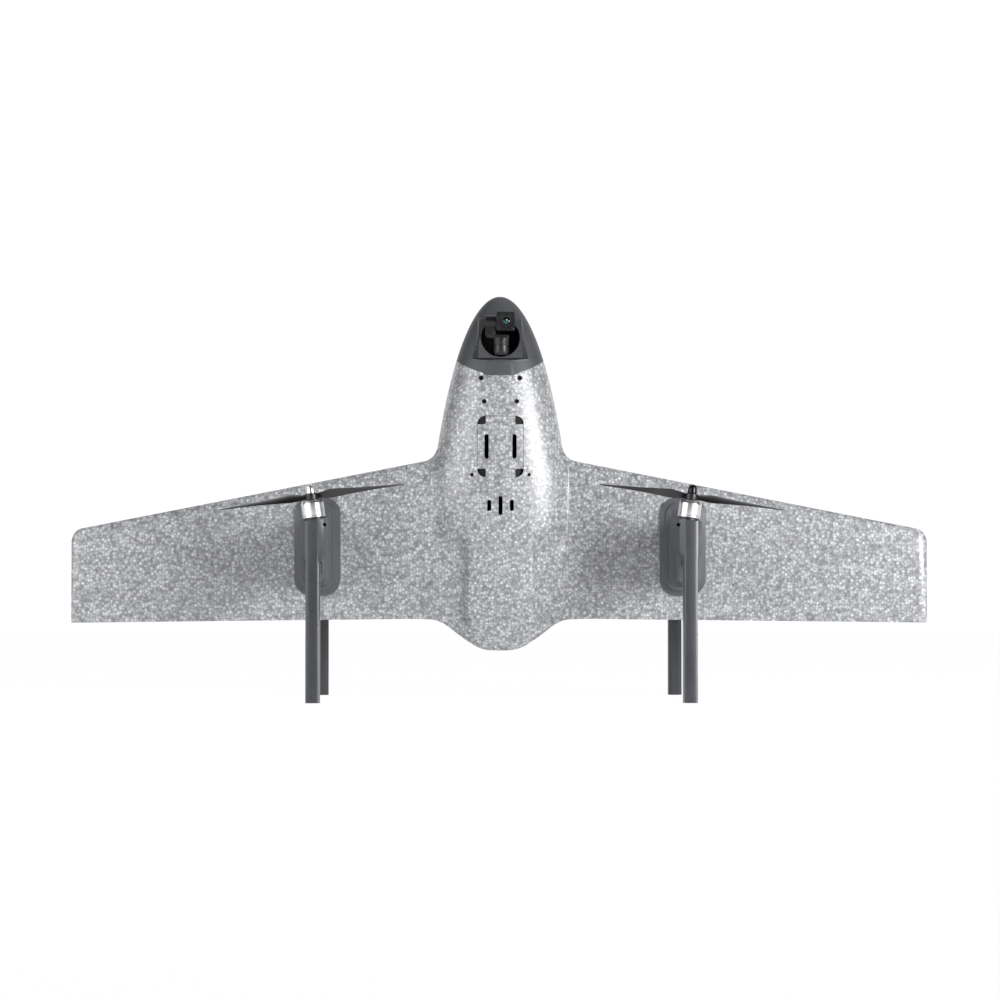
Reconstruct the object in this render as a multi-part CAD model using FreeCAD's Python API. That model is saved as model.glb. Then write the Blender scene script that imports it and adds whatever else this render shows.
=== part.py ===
import FreeCAD, Part
import math
import os

from FreeCAD import Vector

os.makedirs("parts", exist_ok=True)

# Tail-sitting foam flying wing with four motor pods and a gimbal camera in its nose.
# It stands on its four leg ends: +Z points to the nose, X is the span, and the belly looks along -Y.
# Left is +X, the aircraft's own left.

# Foam body, with heights measured back from the nose tip
nose_z = 510.0
tail_z = nose_z - 449.5
wing_front_z = nose_z - 202.0
belly_depth = 47.0
back_depth = 45.0
nose_taper = 168.0
tail_taper = 190.0
nose_width_rate = 41.0
nose_width_fall = 0.043
root_fairing_half_width = 112.0
root_fairing_rim = 4.0

# Wing
wing_half_span = 542.5
leading_edge_z = nose_z - 190.2
leading_edge_slope = 0.1967
trailing_edge_z = nose_z - 407.8
trailing_edge_slope = 0.0112
root_thickness = 31.0
tip_thickness = 14.0
trailing_edge_thickness = 2.0
tip_round = 13.0
wing_joint_x = 128.0

# Plastic nose cover
seam_radius = 87.0
seam_low_z = nose_z - 102.0
seam_reach = 75.0
tongue_half_width = 17.2
tongue_slant = 7.0
tongue_height = 6.0
panel_half_width = 15.5
panel_rise = 1.0
panel_fore_z = nose_z - 84.0
nose_wall = 2.4
bay_z = nose_z - 54.8
bay_radius = 24.6
bay_floor_y = -9.0
fairing_aft_z = nose_z - 80.5
fairing_fore_z = nose_z - 30.0
fairing_half_width = 27.8
fairing_foot_half_width = 35.5
fairing_foot_z = nose_z - 86.6
fairing_rise = 4.5
liner_wall = 1.5

# Belly hatch and openings
hatch_z = nose_z - 192.2
hatch_width = 58.4
hatch_height = 77.0
hatch_corner = 10.0
hatch_gap = 0.4
hatch_floor_y = -35.0
hatch_seat_gap = 0.3
hatch_slot_x = 17.5
hatch_slot_width = 5.3
hatch_slot_height = 31.0
hatch_notch = 10.3
hatch_notch_corner = 2.5
latch_recess = 2.2
vent_z = nose_z - 266.2
vent_width = 5.0
vent_pitch = 14.2
vent_height = 23.8
side_vent_height = 14.0

# Inner parts
cell_diameter = 21.4
cell_length = 70.0
battery_y = -11.0
battery_wrap = 0.4
pocket_gap = 0.3
electronics_z = nose_z - 274.0
electronics_height = 56.0
electronics_width = 52.0
electronics_front_y = -33.0
electronics_back_y = 20.0
cable_pass_width = 18.0
cable_pass_height = 8.0
board_width = 44.0
controller_width = 38.0
board_thickness = 1.6
board_gap = 9.0
standoff_pitch = 30.5
standoff_radius = 2.5
gps_z = nose_z - 132.0
gps_back_y = 30.0
gps_width = 26.0
gps_height = 10.0
spar_z = nose_z - 314.0
spar_radius = 4.0
spar_wall = 1.0
spar_half_length = 430.0
rear_spar_z = nose_z - 370.0
rear_spar_radius = 3.0
rear_spar_half_length = 330.0
harness_z = nose_z - 342.0
harness_radius = 2.5
insert_gap = 0.1

# Motor pods
pod_x = 231.0
pod_y = 135.0
plate_half_width = 29.2
plate_low_z = nose_z - 380.0
plate_high_z = nose_z - 255.0
plate_corner = 22.0
plate_proud = 2.2
plate_inlay = 1.2
boss_half_width = 21.5
boss_margin = 7.0
boss_corner = 16.0
boss_rise = 4.8
pylon_half_width = 10.5
pylon_half_chord = 40.0
pylon_z = nose_z - 324.0
leg_flat = 5.65
leg_half_width = 8.7
leg_front = 13.0
leg_chamfer = 3.2
leg_back = 9.0
leg_wall = 1.6
leg_top_z = nose_z - 339.0
tenon_length = 18.0
tenon_half_width = 5.0
tenon_front = 8.0
tenon_back = 5.0
nacelle_low_z = nose_z - 326.0
nacelle_outboard = 14.5
nacelle_inboard = 13.2
nacelle_inboard_flare = 4.8
rotor_cant = 8.0
motor_z = nose_z - 283.0
motor_x = 229.6
pod_screw_x = 14.2
pod_screw_z = nose_z - 292.0
pod_screw_radius = 1.9
pod_screw_hole_radius = 2.2

# Motor and propeller
bell_radius = 14.0
bell_height = 21.5
bell_wall = 1.6
bell_lip = 3.0
motor_gap = 1.0
base_height = 2.0
stator_radius = 11.6
stator_height = 13.0
stator_teeth = 12
shaft_radius = 2.0
shaft_clearance = 0.05
bearing_radius = 4.0
bell_windows = 6
bell_notch_half_width = 1.8
bell_notch_height = 1.9
hub_radius = 8.2
hub_height = 8.0
prop_radius = 114.3
prop_pitch = 114.0
root_pitch = 33.0
blade_chord = 19.0
blade_thickness = 2.6
nut_radius = 6.0
nut_height = 11.5
stud_radius = 2.5

# Gimbal camera
roll_x = 1.0
roll_y = -41.5
roll_motor_radius = 10.0
roll_motor_low_z = nose_z - 74.5
roll_motor_high_z = nose_z - 56.0
spindle_radius = 3.0
spindle_length = 5.5
bracket_thickness = 2.6
arm_corner = 5.0
gimbal_gap = 0.4
tilt_y = -47.0
tilt_z = nose_z - 35.7
camera_x = 6.2
camera_width = 23.0
camera_height = 23.6
camera_depth = 22.0
camera_corner = 3.0
lens_offset = 0.9
lens_radius = 6.8
lens_rise = 1.6
tilt_motor_radius = 8.3
tilt_motor_left = -18.7
tilt_motor_right = -5.9

# Screws
screw_radius = 2.4
screw_hole_radius = 2.7
screw_length = 9.0
screw_recess = 3.0
small_screw_radius = 1.6
small_hole_radius = 1.9


def box(x, y, z):
    """A box between two limits on each axis."""
    corner = Vector(x[0], y[0], z[0])
    return Part.makeBox(x[1] - x[0], y[1] - y[0], z[1] - z[0], corner)


def rod(radius, start, end):
    """A round rod from one point to another."""
    start, end = Vector(*start), Vector(*end)
    return Part.makeCylinder(radius, start.distanceToPoint(end), start, end - start)


def prism(outline, start, travel):
    """A flat outline in X and Z, swept along Y from start by travel."""
    points = [Vector(x, start, z) for x, z in outline]
    face = Part.Face(Part.makePolygon(points + points[:1]))
    return face.extrude(Vector(0, travel, 0))


def slot_outline(centre_x, centre_z, half_width, half_height, y):
    """A wire of two round ends joined by straight sides, long in Z."""
    run = half_height - half_width
    left, right = centre_x - half_width, centre_x + half_width
    low, high = centre_z - run, centre_z + run
    edges = [
        Part.LineSegment(Vector(right, y, low), Vector(right, y, high)).toShape(),
        Part.Arc(Vector(right, y, high), Vector(centre_x, y, high + half_width), Vector(left, y, high)).toShape(),
        Part.LineSegment(Vector(left, y, high), Vector(left, y, low)).toShape(),
        Part.Arc(Vector(left, y, low), Vector(centre_x, y, low - half_width), Vector(right, y, low)).toShape(),
    ]
    return Part.Wire(edges)


def round_outline(centre_x, centre_z, half_width, half_height, corner, y):
    """A wire of a rectangle in X and Z with four equal round corners."""
    bend = corner * (1 - math.sqrt(0.5))
    edges = []
    for side, end in ((1, 1), (-1, 1), (-1, -1), (1, -1)):
        x, z = centre_x + side * half_width, centre_z + end * half_height
        beside = Vector(x, y, z - end * corner)
        middle = Vector(x - side * bend, y, z - end * bend)
        above = Vector(x - side * corner, y, z)
        start, stop = (beside, above) if side == end else (above, beside)
        if edges:
            edges.append(Part.LineSegment(edges[-1].valueAt(edges[-1].LastParameter), start).toShape())
        edges.append(Part.Arc(start, middle, stop).toShape())
    last = edges[-1].valueAt(edges[-1].LastParameter)
    edges.append(Part.LineSegment(last, edges[0].valueAt(edges[0].FirstParameter)).toShape())
    return Part.Wire(edges)


def slot_prism(centre_x, centre_z, half_width, half_height, start, travel):
    """A round-ended slot swept along Y."""
    wire = slot_outline(centre_x, centre_z, half_width, half_height, start)
    return Part.Face(wire).extrude(Vector(0, travel, 0))


def round_box(x, y, z, radius, along):
    """A box whose four edges along one axis are rounded."""
    shape = box(x, y, z)
    edges = [edge for edge in shape.Edges if abs(edge.tangentAt(edge.FirstParameter).dot(along)) > 0.99]
    return shape.makeFillet(radius, edges)


def solids_of(shape):
    """The solids of a boolean result, without its wrapping."""
    return shape.Solids[0] if len(shape.Solids) == 1 else Part.makeCompound(shape.Solids)


# Foam body: closed sections lofted from tail to nose


def nose_half_width(back):
    """Half width of the body at a distance behind the nose tip: a parabola that slowly tightens."""
    return math.sqrt(back * (nose_width_rate - nose_width_fall * back))


def depth_share(z):
    """Share of the full depth at a height: a round nose, a level middle and a falling tail."""
    fore = math.sqrt(math.sin(math.pi / 2 * min(1.0, (nose_z - z) / nose_taper)))
    aft = math.sin(math.pi / 2 * min(1.0, (z - tail_z + 3.0) / tail_taper)) ** 0.8
    return fore * aft


def body_section(z, half_width, flare, inset):
    """Closed smooth section: an ellipse, or with flare a bell that runs out over the wing."""
    half_width = half_width - inset
    rim = root_fairing_rim * flare
    power = 0.5 + 1.2 * flare
    count = 14
    points = []
    for step in range(2 * count):
        angle = math.pi * step / count
        across = math.cos(angle)
        rise = (1 - across * across) ** power if abs(across) < 1 else 0.0
        edge = math.sin(angle)
        depth = back_depth if edge > 0 else belly_depth
        depth = depth * depth_share(z) - inset
        side = 1 if edge > 0 else -1
        points.append(Vector(half_width * across, side * (depth - rim) * rise + rim * edge, z))
    curve = Part.BSplineCurve()
    curve.interpolate(points, PeriodicFlag=True)
    return Part.Wire(curve.toShape())


def body_loft(inset=0.0):
    """The body's smooth hull, or the same hull moved inwards by inset."""
    sections = []
    tail = [(0.0, 5.0), (1.5, 16.0), (6.2, 30.4), (16.3, 46.9), (26.5, 60.8), (36.6, 76.1)]
    for rise, half_width in tail:
        sections.append((tail_z + rise, half_width, 0.0))
    fairing = [(44.0, 0.84, 0.35), (54.0, 0.95, 0.8), (80.0, 1.0, 1.0), (140.0, 1.0, 1.0), (200.0, 1.0, 1.0)]
    for rise, share, flare in fairing:
        sections.append((tail_z + rise, root_fairing_half_width * share, flare))
    sections.append((wing_front_z - 17.0, root_fairing_half_width * 0.97, 0.9))
    sections.append((wing_front_z - 7.0, root_fairing_half_width * 0.88, 0.5))
    sections.append((wing_front_z + 0.5, nose_half_width(nose_z - wing_front_z) * 1.045, 0.15))
    nose_length = nose_z - wing_front_z
    for share in (0.955, 0.89, 0.743, 0.584, 0.436, 0.307, 0.208, 0.134, 0.074, 0.032, 0.009, 0.0012):
        sections.append((nose_z - share * nose_length, nose_half_width(share * nose_length), 0.0))
    if inset:
        sections = [s for s in sections if seam_low_z - 40.0 < s[0] < nose_z - inset - 3.0]
    wires = [body_section(z, half_width, flare, inset) for z, half_width, flare in sections]
    return Part.makeLoft(wires, True, False)


# Wing: airfoil sections lofted along the span


def airfoil(x, low_z, high_z, thickness, extra=0.0):
    """Closed section at a span station, with its round edge at high_z and a thin square edge at low_z."""
    chord = high_z - low_z
    count = 12
    upper = []
    for step in range(count + 1):
        along = 0.5 * (1 - math.cos(math.pi * step / count))
        shape = 1.4845 * math.sqrt(along) - 0.63 * along - 1.758 * along ** 2 + 1.4215 * along ** 3 - 0.518 * along ** 4
        half = thickness * shape + trailing_edge_thickness / 2 * along
        upper.append((half + extra * min(1.0, 8 * along), high_z - along * chord + (extra if step == 0 else 0.0)))
    points = [Vector(x, half, z) for half, z in reversed(upper)]
    points += [Vector(x, -half, z) for half, z in upper[1:]]
    curve = Part.BSplineCurve()
    curve.interpolate(points)
    edge = Part.LineSegment(points[-1], points[0])
    return Part.Wire([curve.toShape(), edge.toShape()])


def edge_heights(x):
    """Trailing and leading edge heights at a span station."""
    return trailing_edge_z - trailing_edge_slope * x, leading_edge_z - leading_edge_slope * x


def wing_thickness(x):
    """Greatest thickness at a span station, a straight taper from root to tip."""
    return root_thickness - (root_thickness - tip_thickness) * x / wing_half_span


def wing_panel(start, end, extra=0.0):
    """A straight-tapered stretch of the left wing."""
    wires = [airfoil(x, *edge_heights(x), wing_thickness(x), extra) for x in (start, end)]
    return Part.makeLoft(wires, True, True)


def wing_tip(start):
    """The rolled tip: the section shrinks along a quarter round to the end of the span."""
    wires = []
    for step in range(6):
        angle = math.pi / 2 * step / 5 * 0.93
        x = start + tip_round * math.sin(angle)
        low_z, high_z = edge_heights(x)
        drop = tip_round * (1 - math.cos(angle))
        wires.append(airfoil(x, low_z, high_z - drop, wing_thickness(x) * max(0.15, math.cos(angle))))
    return Part.makeLoft(wires, True, False)


def left_foam_wing():
    """The left wing panel from its joint with the body to its rolled tip."""
    tip_start = wing_half_span - tip_round
    return wing_panel(wing_joint_x, tip_start).fuse(wing_tip(tip_start)).removeSplitter()


def mirror_x(shape):
    return shape.mirror(Vector(0, 0, 0), Vector(1, 0, 0))


def mirror_y(shape):
    return shape.mirror(Vector(0, 0, 0), Vector(0, 1, 0))


# Nose cover: the hull forward of a curved seam, with a raised bay fairing on the belly


def seam_region():
    """Everything forward of the nose seam: an arc with a short flat tongue at its lowest point."""
    centre_z = seam_low_z + seam_radius
    side_z = centre_z - math.sqrt(seam_radius ** 2 - seam_reach ** 2)
    y = -belly_depth - 20
    left, low, right = Vector(-seam_reach, y, side_z), Vector(0, y, seam_low_z), Vector(seam_reach, y, side_z)
    arc = Part.Arc(left, low, right).toShape()
    top = nose_z + 20
    rest = Part.makePolygon([right, Vector(seam_reach, y, top), Vector(-seam_reach, y, top), left])
    region = Part.Face(Part.Wire([arc] + rest.Edges)).extrude(Vector(0, 2 * belly_depth + 40, 0))
    shoulder = tongue_half_width + tongue_slant
    low_z, high_z = seam_low_z - 0.4, seam_low_z - 0.4 + tongue_height
    tongue = [(-tongue_half_width, low_z), (tongue_half_width, low_z), (shoulder, high_z), (-shoulder, high_z)]
    return region.fuse(prism(tongue, y, belly_depth + 20))


def bay_fairing():
    """The flat raised frame round the gimbal bay, highest at its aft edge and fading forward."""
    aft_y = -belly_depth * depth_share(fairing_aft_z) - fairing_rise
    fore_y = -belly_depth * depth_share(fairing_fore_z) - 0.3
    slope = (fore_y - aft_y) / (fairing_fore_z - fairing_aft_z)
    half, foot, middle = fairing_half_width, fairing_foot_half_width, panel_half_width
    top = [(half, fairing_aft_z), (half - 1.0, fairing_fore_z)]
    base = [(middle, fairing_foot_z), (foot, fairing_aft_z - 0.5), (half + 0.5, fairing_fore_z + 3.0)]
    top = [(middle - 3.0, fairing_aft_z)] + top
    wires = []
    for outline, sink in ((base, 14.0), (top, 0.0)):
        ring = outline + [(-x, z) for x, z in reversed(outline)]
        points = [Vector(x, aft_y + slope * (z - fairing_aft_z) + sink, z) for x, z in ring]
        wires.append(Part.makePolygon(points + points[:1]))
    return Part.makeLoft(wires, True, True)


def tongue_panel():
    """A raised panel from the tongue to the bay fairing, parallel to the hull."""
    low_z = seam_low_z - 0.4
    half = panel_half_width
    outline = [(-half, low_z), (half, low_z), (half - 1.0, panel_fore_z), (1.0 - half, panel_fore_z)]
    return body_loft(-panel_rise).common(prism(outline, -2 * belly_depth, 2 * belly_depth))


hull = body_loft()
hull_inside = body_loft(nose_wall)
forward = seam_region()
bay_bore = rod(bay_radius, (0, -belly_depth - 30, bay_z), (0, bay_floor_y, bay_z))

nose_hull = hull.fuse([bay_fairing(), tongue_panel()]).common(forward)
nose_cover = nose_hull.cut(hull_inside).cut(bay_bore)

# The black liner stands behind the cover's opening and closes the bay
liner_outer = rod(bay_radius + liner_wall, (0, -belly_depth - 10, bay_z), (0, bay_floor_y + liner_wall, bay_z))
liner = liner_outer.cut(bay_bore).common(hull_inside).common(forward)

# Gimbal: roll motor on a bracket, arm, tilt motor, camera


def gimbal_pieces():
    """The bracket, the two moving groups and the lens, each as its own solid."""
    split_z = (roll_motor_low_z + roll_motor_high_z) / 2
    bracket_low = roll_motor_low_z - bracket_thickness
    bracket = box((roll_x - 8, roll_x + 8), (roll_y - 6, bay_floor_y - 0.05), (bracket_low, roll_motor_low_z))
    bracket = bracket.fuse(
        box(
            (roll_x - 8, roll_x + 8),
            (bay_floor_y - bracket_thickness, bay_floor_y - 0.05),
            (bracket_low, bracket_low + 16),
        )
    )
    can_low = rod(roll_motor_radius, (roll_x, roll_y, roll_motor_low_z), (roll_x, roll_y, split_z - gimbal_gap / 2))
    can_low = can_low.cut(
        rod(spindle_radius + shaft_clearance, (roll_x, roll_y, split_z - spindle_length - 0.5), (roll_x, roll_y, split_z))
    )
    can_high = rod(roll_motor_radius, (roll_x, roll_y, split_z + gimbal_gap / 2), (roll_x, roll_y, roll_motor_high_z))
    spindle = rod(spindle_radius, (roll_x, roll_y, split_z - spindle_length), (roll_x, roll_y, split_z + 1))

    sweep = math.hypot(camera_height, camera_depth) / 2
    plate_high = tilt_z - sweep - gimbal_gap
    arm_left = tilt_motor_left - 0.3
    plate = box((arm_left + arm_corner, roll_x + 9.5), (tilt_y - 4, roll_y + 9), (roll_motor_high_z, plate_high))
    upright = round_box(
        (arm_left, tilt_motor_right - 0.6),
        (tilt_y - 4, roll_y + 6),
        (roll_motor_high_z, tilt_z),
        arm_corner,
        Vector(0, 1, 0),
    )
    tilt_can = rod(tilt_motor_radius, (tilt_motor_left, tilt_y, tilt_z), (tilt_motor_right, tilt_y, tilt_z))
    bore = rod(spindle_radius + shaft_clearance, (tilt_motor_right - spindle_length - 0.5, tilt_y, tilt_z), (0, tilt_y, tilt_z))
    arm = can_high.fuse([spindle, plate, upright, tilt_can]).cut(bore).removeSplitter()

    left, right = camera_x - camera_width / 2, camera_x + camera_width / 2
    low, high = tilt_z - camera_height / 2, tilt_z + camera_height / 2
    front, back = tilt_y - camera_depth / 2, tilt_y + camera_depth / 2
    body = round_box((left, right), (front, back), (low, high), camera_corner, Vector(0, 1, 0))
    tilt_spindle = rod(spindle_radius, (tilt_motor_right - spindle_length, tilt_y, tilt_z), (left + 1, tilt_y, tilt_z))
    lens_x = camera_x + lens_offset
    seat = rod(lens_radius + insert_gap, (lens_x, front - 5, tilt_z), (lens_x, front + 6, tilt_z))
    body = body.fuse(tilt_spindle).cut(seat)
    barrel = rod(lens_radius, (lens_x, front - lens_rise, tilt_z), (lens_x, front + 6, tilt_z))
    glass_seat = rod(lens_radius - 1.6, (lens_x, front - 5, tilt_z), (lens_x, front + 2, tilt_z))
    dome_radius = 9.0
    glass = rod(lens_radius - 1.7, (lens_x, front - lens_rise, tilt_z), (lens_x, front + 1.9, tilt_z))
    dome = Part.makeSphere(dome_radius, Vector(lens_x, front - lens_rise + 0.4 + dome_radius, tilt_z))
    return bracket.fuse(can_low), arm, body, barrel.cut(glass_seat), glass.common(dome)


gimbal_base, gimbal_arm, camera_body, lens_barrel, lens_glass = gimbal_pieces()

# Belly hatch with two slots, and four latches sunk in its notched corners


def hatch_prism(grow, front, back):
    """The hatch outline with a margin, swept from front to back along Y."""
    half_w, half_h = hatch_width / 2 + grow, hatch_height / 2 + grow
    return round_box(
        (-half_w, half_w), (front, back), (hatch_z - half_h, hatch_z + half_h), hatch_corner + grow, Vector(0, 1, 0)
    )


skin_y = -belly_depth - 10
hatch = hull.common(hatch_prism(-hatch_gap, skin_y, hatch_floor_y))
for side in (-1, 1):
    hatch = hatch.cut(
        slot_prism(side * hatch_slot_x, hatch_z, hatch_slot_width / 2, hatch_slot_height / 2, skin_y, 30)
    )
latches = []
notch_span = 15.0
for side in (-1, 1):
    for end in (-1, 1):
        inner_x = side * (hatch_width / 2 - hatch_gap - hatch_notch)
        inner_z = hatch_z + end * (hatch_height / 2 - hatch_gap - hatch_notch)
        post = round_box(
            sorted((inner_x, inner_x + side * notch_span)),
            (skin_y, hatch_floor_y + 3),
            sorted((inner_z, inner_z + end * notch_span)),
            hatch_notch_corner,
            Vector(0, 1, 0),
        )
        latch = hatch.common(post)
        hatch = hatch.cut(post)
        sunk = latch.copy()
        sunk.translate(Vector(0, latch_recess, 0))
        latches.append(latch.common(sunk))
hatch_latches = Part.makeCompound([solid for latch in latches for solid in latch.Solids])

# Battery: four round cells in a wrap, under the hatch


def battery_pack():
    """A two by two pack of round cells, as one wrapped block with rounded lobes."""
    pitch = cell_diameter / 2
    low, high = hatch_z - cell_length / 2, hatch_z + cell_length / 2
    lobes = []
    for x in (-pitch, pitch):
        for y in (-pitch, pitch):
            lobes.append(rod(pitch + battery_wrap, (x, battery_y + y, low), (x, battery_y + y, high)))
    core = box((-pitch, pitch), (battery_y - 2 * pitch, battery_y + 2 * pitch), (low, high))
    side = box((-2 * pitch, 2 * pitch), (battery_y - pitch, battery_y + pitch), (low, high))
    return core.fuse(lobes + [side]).removeSplitter()


battery = battery_pack()
battery_half = cell_diameter + battery_wrap + pocket_gap
battery_pocket = box(
    (-battery_half, battery_half),
    (hatch_floor_y - 1, battery_y + battery_half),
    (hatch_z - cell_length / 2 - pocket_gap, hatch_z + cell_length / 2 + pocket_gap),
)
electronics_pocket = box(
    (-electronics_width / 2, electronics_width / 2),
    (electronics_front_y, electronics_back_y),
    (electronics_z - electronics_height / 2, electronics_z + electronics_height / 2),
)
cable_pass = box(
    (-cable_pass_width / 2, cable_pass_width / 2),
    (electronics_back_y - 6 - cable_pass_height, electronics_back_y - 6),
    (electronics_z, hatch_z),
)


def circuit_board(width, height, thickness, chips, centre_z, back_y):
    """A board that lies on back_y, with raised chips on its belly side."""
    half_w, half_h = width / 2, height / 2
    front = back_y - thickness
    board = box((-half_w, half_w), (front, back_y), (centre_z - half_h, centre_z + half_h))
    blocks = []
    for chip_x, chip_z, chip_w, chip_h, chip_t in chips:
        x, z = chip_x * half_w, centre_z + chip_z * half_h
        blocks.append(box((x - chip_w / 2, x + chip_w / 2), (front - chip_t, front), (z - chip_h / 2, z + chip_h / 2)))
    return board.fuse(blocks).removeSplitter()


esc_chips = [(x, z, 9.0, 8.0, 1.5) for x in (-0.28, 0.28) for z in (-0.75, -0.25, 0.25, 0.75)]
speed_controller = circuit_board(board_width, board_width, board_thickness, esc_chips, electronics_z, electronics_back_y)
control_chips = [(0.0, 0.0, 12.0, 12.0, 1.2), (0.6, 0.5, 6.0, 5.0, 2.5), (-0.6, -0.6, 8.0, 5.0, 4.0)]
flight_controller = circuit_board(
    controller_width, controller_width, board_thickness, control_chips, electronics_z, electronics_back_y - board_gap
)
standoffs = []
for x in (-standoff_pitch / 2, standoff_pitch / 2):
    for z in (-standoff_pitch / 2, standoff_pitch / 2):
        start = (x, electronics_back_y - board_thickness, electronics_z + z)
        standoffs.append(rod(standoff_radius, start, (x, electronics_back_y - board_gap, electronics_z + z)))
board_standoffs = Part.makeCompound(standoffs)
receiver_low = electronics_z - electronics_height / 2
radio_receiver = box((-11, 11), (electronics_back_y - 24, electronics_back_y - 12), (receiver_low, receiver_low + 4.5))

gps_half = gps_width / 2
gps_pocket = box(
    (-gps_half - pocket_gap, gps_half + pocket_gap),
    (gps_back_y - gps_height - pocket_gap, gps_back_y + pocket_gap),
    (gps_z - gps_half - pocket_gap, gps_z + gps_half + pocket_gap),
)
gps_receiver = box((-gps_half, gps_half), (gps_back_y - gps_height, gps_back_y), (gps_z - gps_half, gps_z + gps_half))


def tube(radius, wall, half_length, z):
    """A carbon tube that runs straight across the span."""
    outer = rod(radius, (-half_length, 0, z), (half_length, 0, z))
    return outer.cut(rod(radius - wall, (-half_length - 1, 0, z), (half_length + 1, 0, z)))


main_spar = tube(spar_radius, spar_wall, spar_half_length, spar_z)
rear_spar = tube(rear_spar_radius, spar_wall, rear_spar_half_length, rear_spar_z)
harness_start = electronics_width / 2 - 6
left_harness = rod(harness_radius, (harness_start, 0, harness_z), (pod_x - 2, 0, harness_z))
harness_cut = rod(harness_radius + insert_gap, (-pod_x + 2, 0, harness_z), (pod_x - 2, 0, harness_z))
harness_drop = box((-harness_start - 8, harness_start + 8), (-6, 6), (harness_z, electronics_z))

# Screws that hold the nose cover and the electronics tray to the belly
screw_places = [(24.3, nose_z - 105.8), (20.4, nose_z - 135.4)]
small_screw_places = [(36.0, nose_z - 227.6)]


def belly_y(x, z):
    """Belly surface at a place forward of the wing."""
    half_width = nose_half_width(nose_z - z)
    return -belly_depth * depth_share(z) * math.sqrt(1 - (x / half_width) ** 2)


def screws(places, radius, bore_radius):
    """Round-headed screws on both sides of the centre line, and the bores that they sit in."""
    pins, bores = [], []
    for place_x, z in places:
        for x in (-place_x, place_x):
            top = belly_y(place_x, z) + screw_recess
            pins.append(rod(radius, (x, top, z), (x, top + screw_length, z)))
            bores.append(rod(bore_radius, (x, top - screw_recess - 6, z), (x, top, z)))
            bores.append(rod(radius + insert_gap / 2, (x, top - 1, z), (x, top + screw_length, z)))
    return pins, bores


large_pins, large_bores = screws(screw_places, screw_radius, screw_hole_radius)
small_pins, small_bores = screws(small_screw_places, small_screw_radius, small_hole_radius)
belly_screws = Part.makeCompound(large_pins + small_pins)

# Foam body: hull and wing centre, less everything that sits in it

wing_centre = wing_panel(0, wing_joint_x)
foam = hull.fuse([wing_centre, mirror_x(wing_centre)])
foam = foam.cut(forward)
foam = foam.cut(hatch_prism(0, skin_y, hatch_floor_y + hatch_seat_gap))
foam = foam.cut(battery_pocket)
foam = foam.cut(electronics_pocket)
foam = foam.cut([cable_pass, gps_pocket, harness_drop, harness_cut])
vents = [slot_prism(0, vent_z, vent_width / 2, vent_height / 2, skin_y, 30)]
for side in (-1, 1):
    vents.append(slot_prism(side * vent_pitch, vent_z, vent_width / 2, side_vent_height / 2, skin_y, 30))
foam = foam.cut(vents)
spar_bores = [
    rod(spar_radius, (-spar_half_length, 0, spar_z), (spar_half_length, 0, spar_z)),
    rod(rear_spar_radius, (-rear_spar_half_length, 0, rear_spar_z), (rear_spar_half_length, 0, rear_spar_z)),
]
foam = foam.cut(spar_bores + large_bores + small_bores)

# Motor pods, drawn for the left belly corner and mirrored to the others


def pod_section(front_flat, chamfer_out, outboard, inboard, back, flare):
    """Cross-section of the leg or the nacelle in X and Y, flat towards the belly and ridged behind."""
    ridge = 2.5
    return [
        (-front_flat, -leg_front),
        (front_flat, -leg_front),
        (chamfer_out, -leg_front + leg_chamfer),
        (outboard, -leg_front + 2.6 * leg_chamfer),
        (outboard, back - 4.0),
        (ridge + 2.0, back),
        (-ridge - 2.0, back),
        (-inboard - flare, back - 4.0),
        (-inboard, -leg_front + 1.6 * leg_chamfer),
    ]


def pod_wire(section, z):
    points = [Vector(pod_x + x, -pod_y + y, z) for x, y in section]
    return Part.makePolygon(points + points[:1])


def pod_prism(section, low, high):
    return Part.Face(pod_wire(section, low)).extrude(Vector(0, 0, high - low))


leg_section = pod_section(leg_flat, leg_half_width, leg_half_width, leg_half_width, leg_back, 0.0)
nacelle_section = pod_section(
    leg_flat, leg_half_width + 0.9, nacelle_outboard, nacelle_inboard, leg_back + 3.0, nacelle_inboard_flare
)
axis = Vector(math.sin(math.radians(rotor_cant)), 0, math.cos(math.radians(rotor_cant)))
motor_base_point = Vector(motor_x, -pod_y, motor_z)


def on_axis(distance):
    """The point on the rotor axis at a distance above the bell's lower edge."""
    return motor_base_point + axis * distance


def disc(radius, low, high):
    """A disc or ring blank on the rotor axis, between two distances above the bell's lower edge."""
    return Part.makeCylinder(radius, high - low, on_axis(low), axis)


def on_rotor(shapes):
    """Shapes drawn about the Z axis, moved together onto the rotor axis."""
    group = Part.makeCompound(shapes)
    group.Placement = FreeCAD.Placement(on_axis(0), FreeCAD.Rotation(Vector(0, 0, 1), axis))
    return group


def inner_prism(low, high):
    """The hollow of the leg: its section drawn in by the wall."""
    face = Part.Face(pod_wire(leg_section, low))
    smaller = face.makeOffset2D(-leg_wall)
    return Part.Face(smaller.OuterWire).extrude(Vector(0, 0, high - low))


def tenon_box(gap, below):
    """The block at the leg's top, or with a gap the socket that it plugs into."""
    return box(
        (pod_x - tenon_half_width - gap, pod_x + tenon_half_width + gap),
        (-pod_y - tenon_front - gap, -pod_y + tenon_back + gap),
        (leg_top_z - below, leg_top_z + tenon_length + gap),
    )


def leg():
    """A closed-ended tube with a tenon that plugs into the nacelle."""
    tube_part = pod_prism(leg_section, 0, leg_top_z).cut(inner_prism(leg_wall * 2, leg_top_z - leg_wall))
    return tube_part.fuse(tenon_box(0.0, leg_wall)).removeSplitter()


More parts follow.
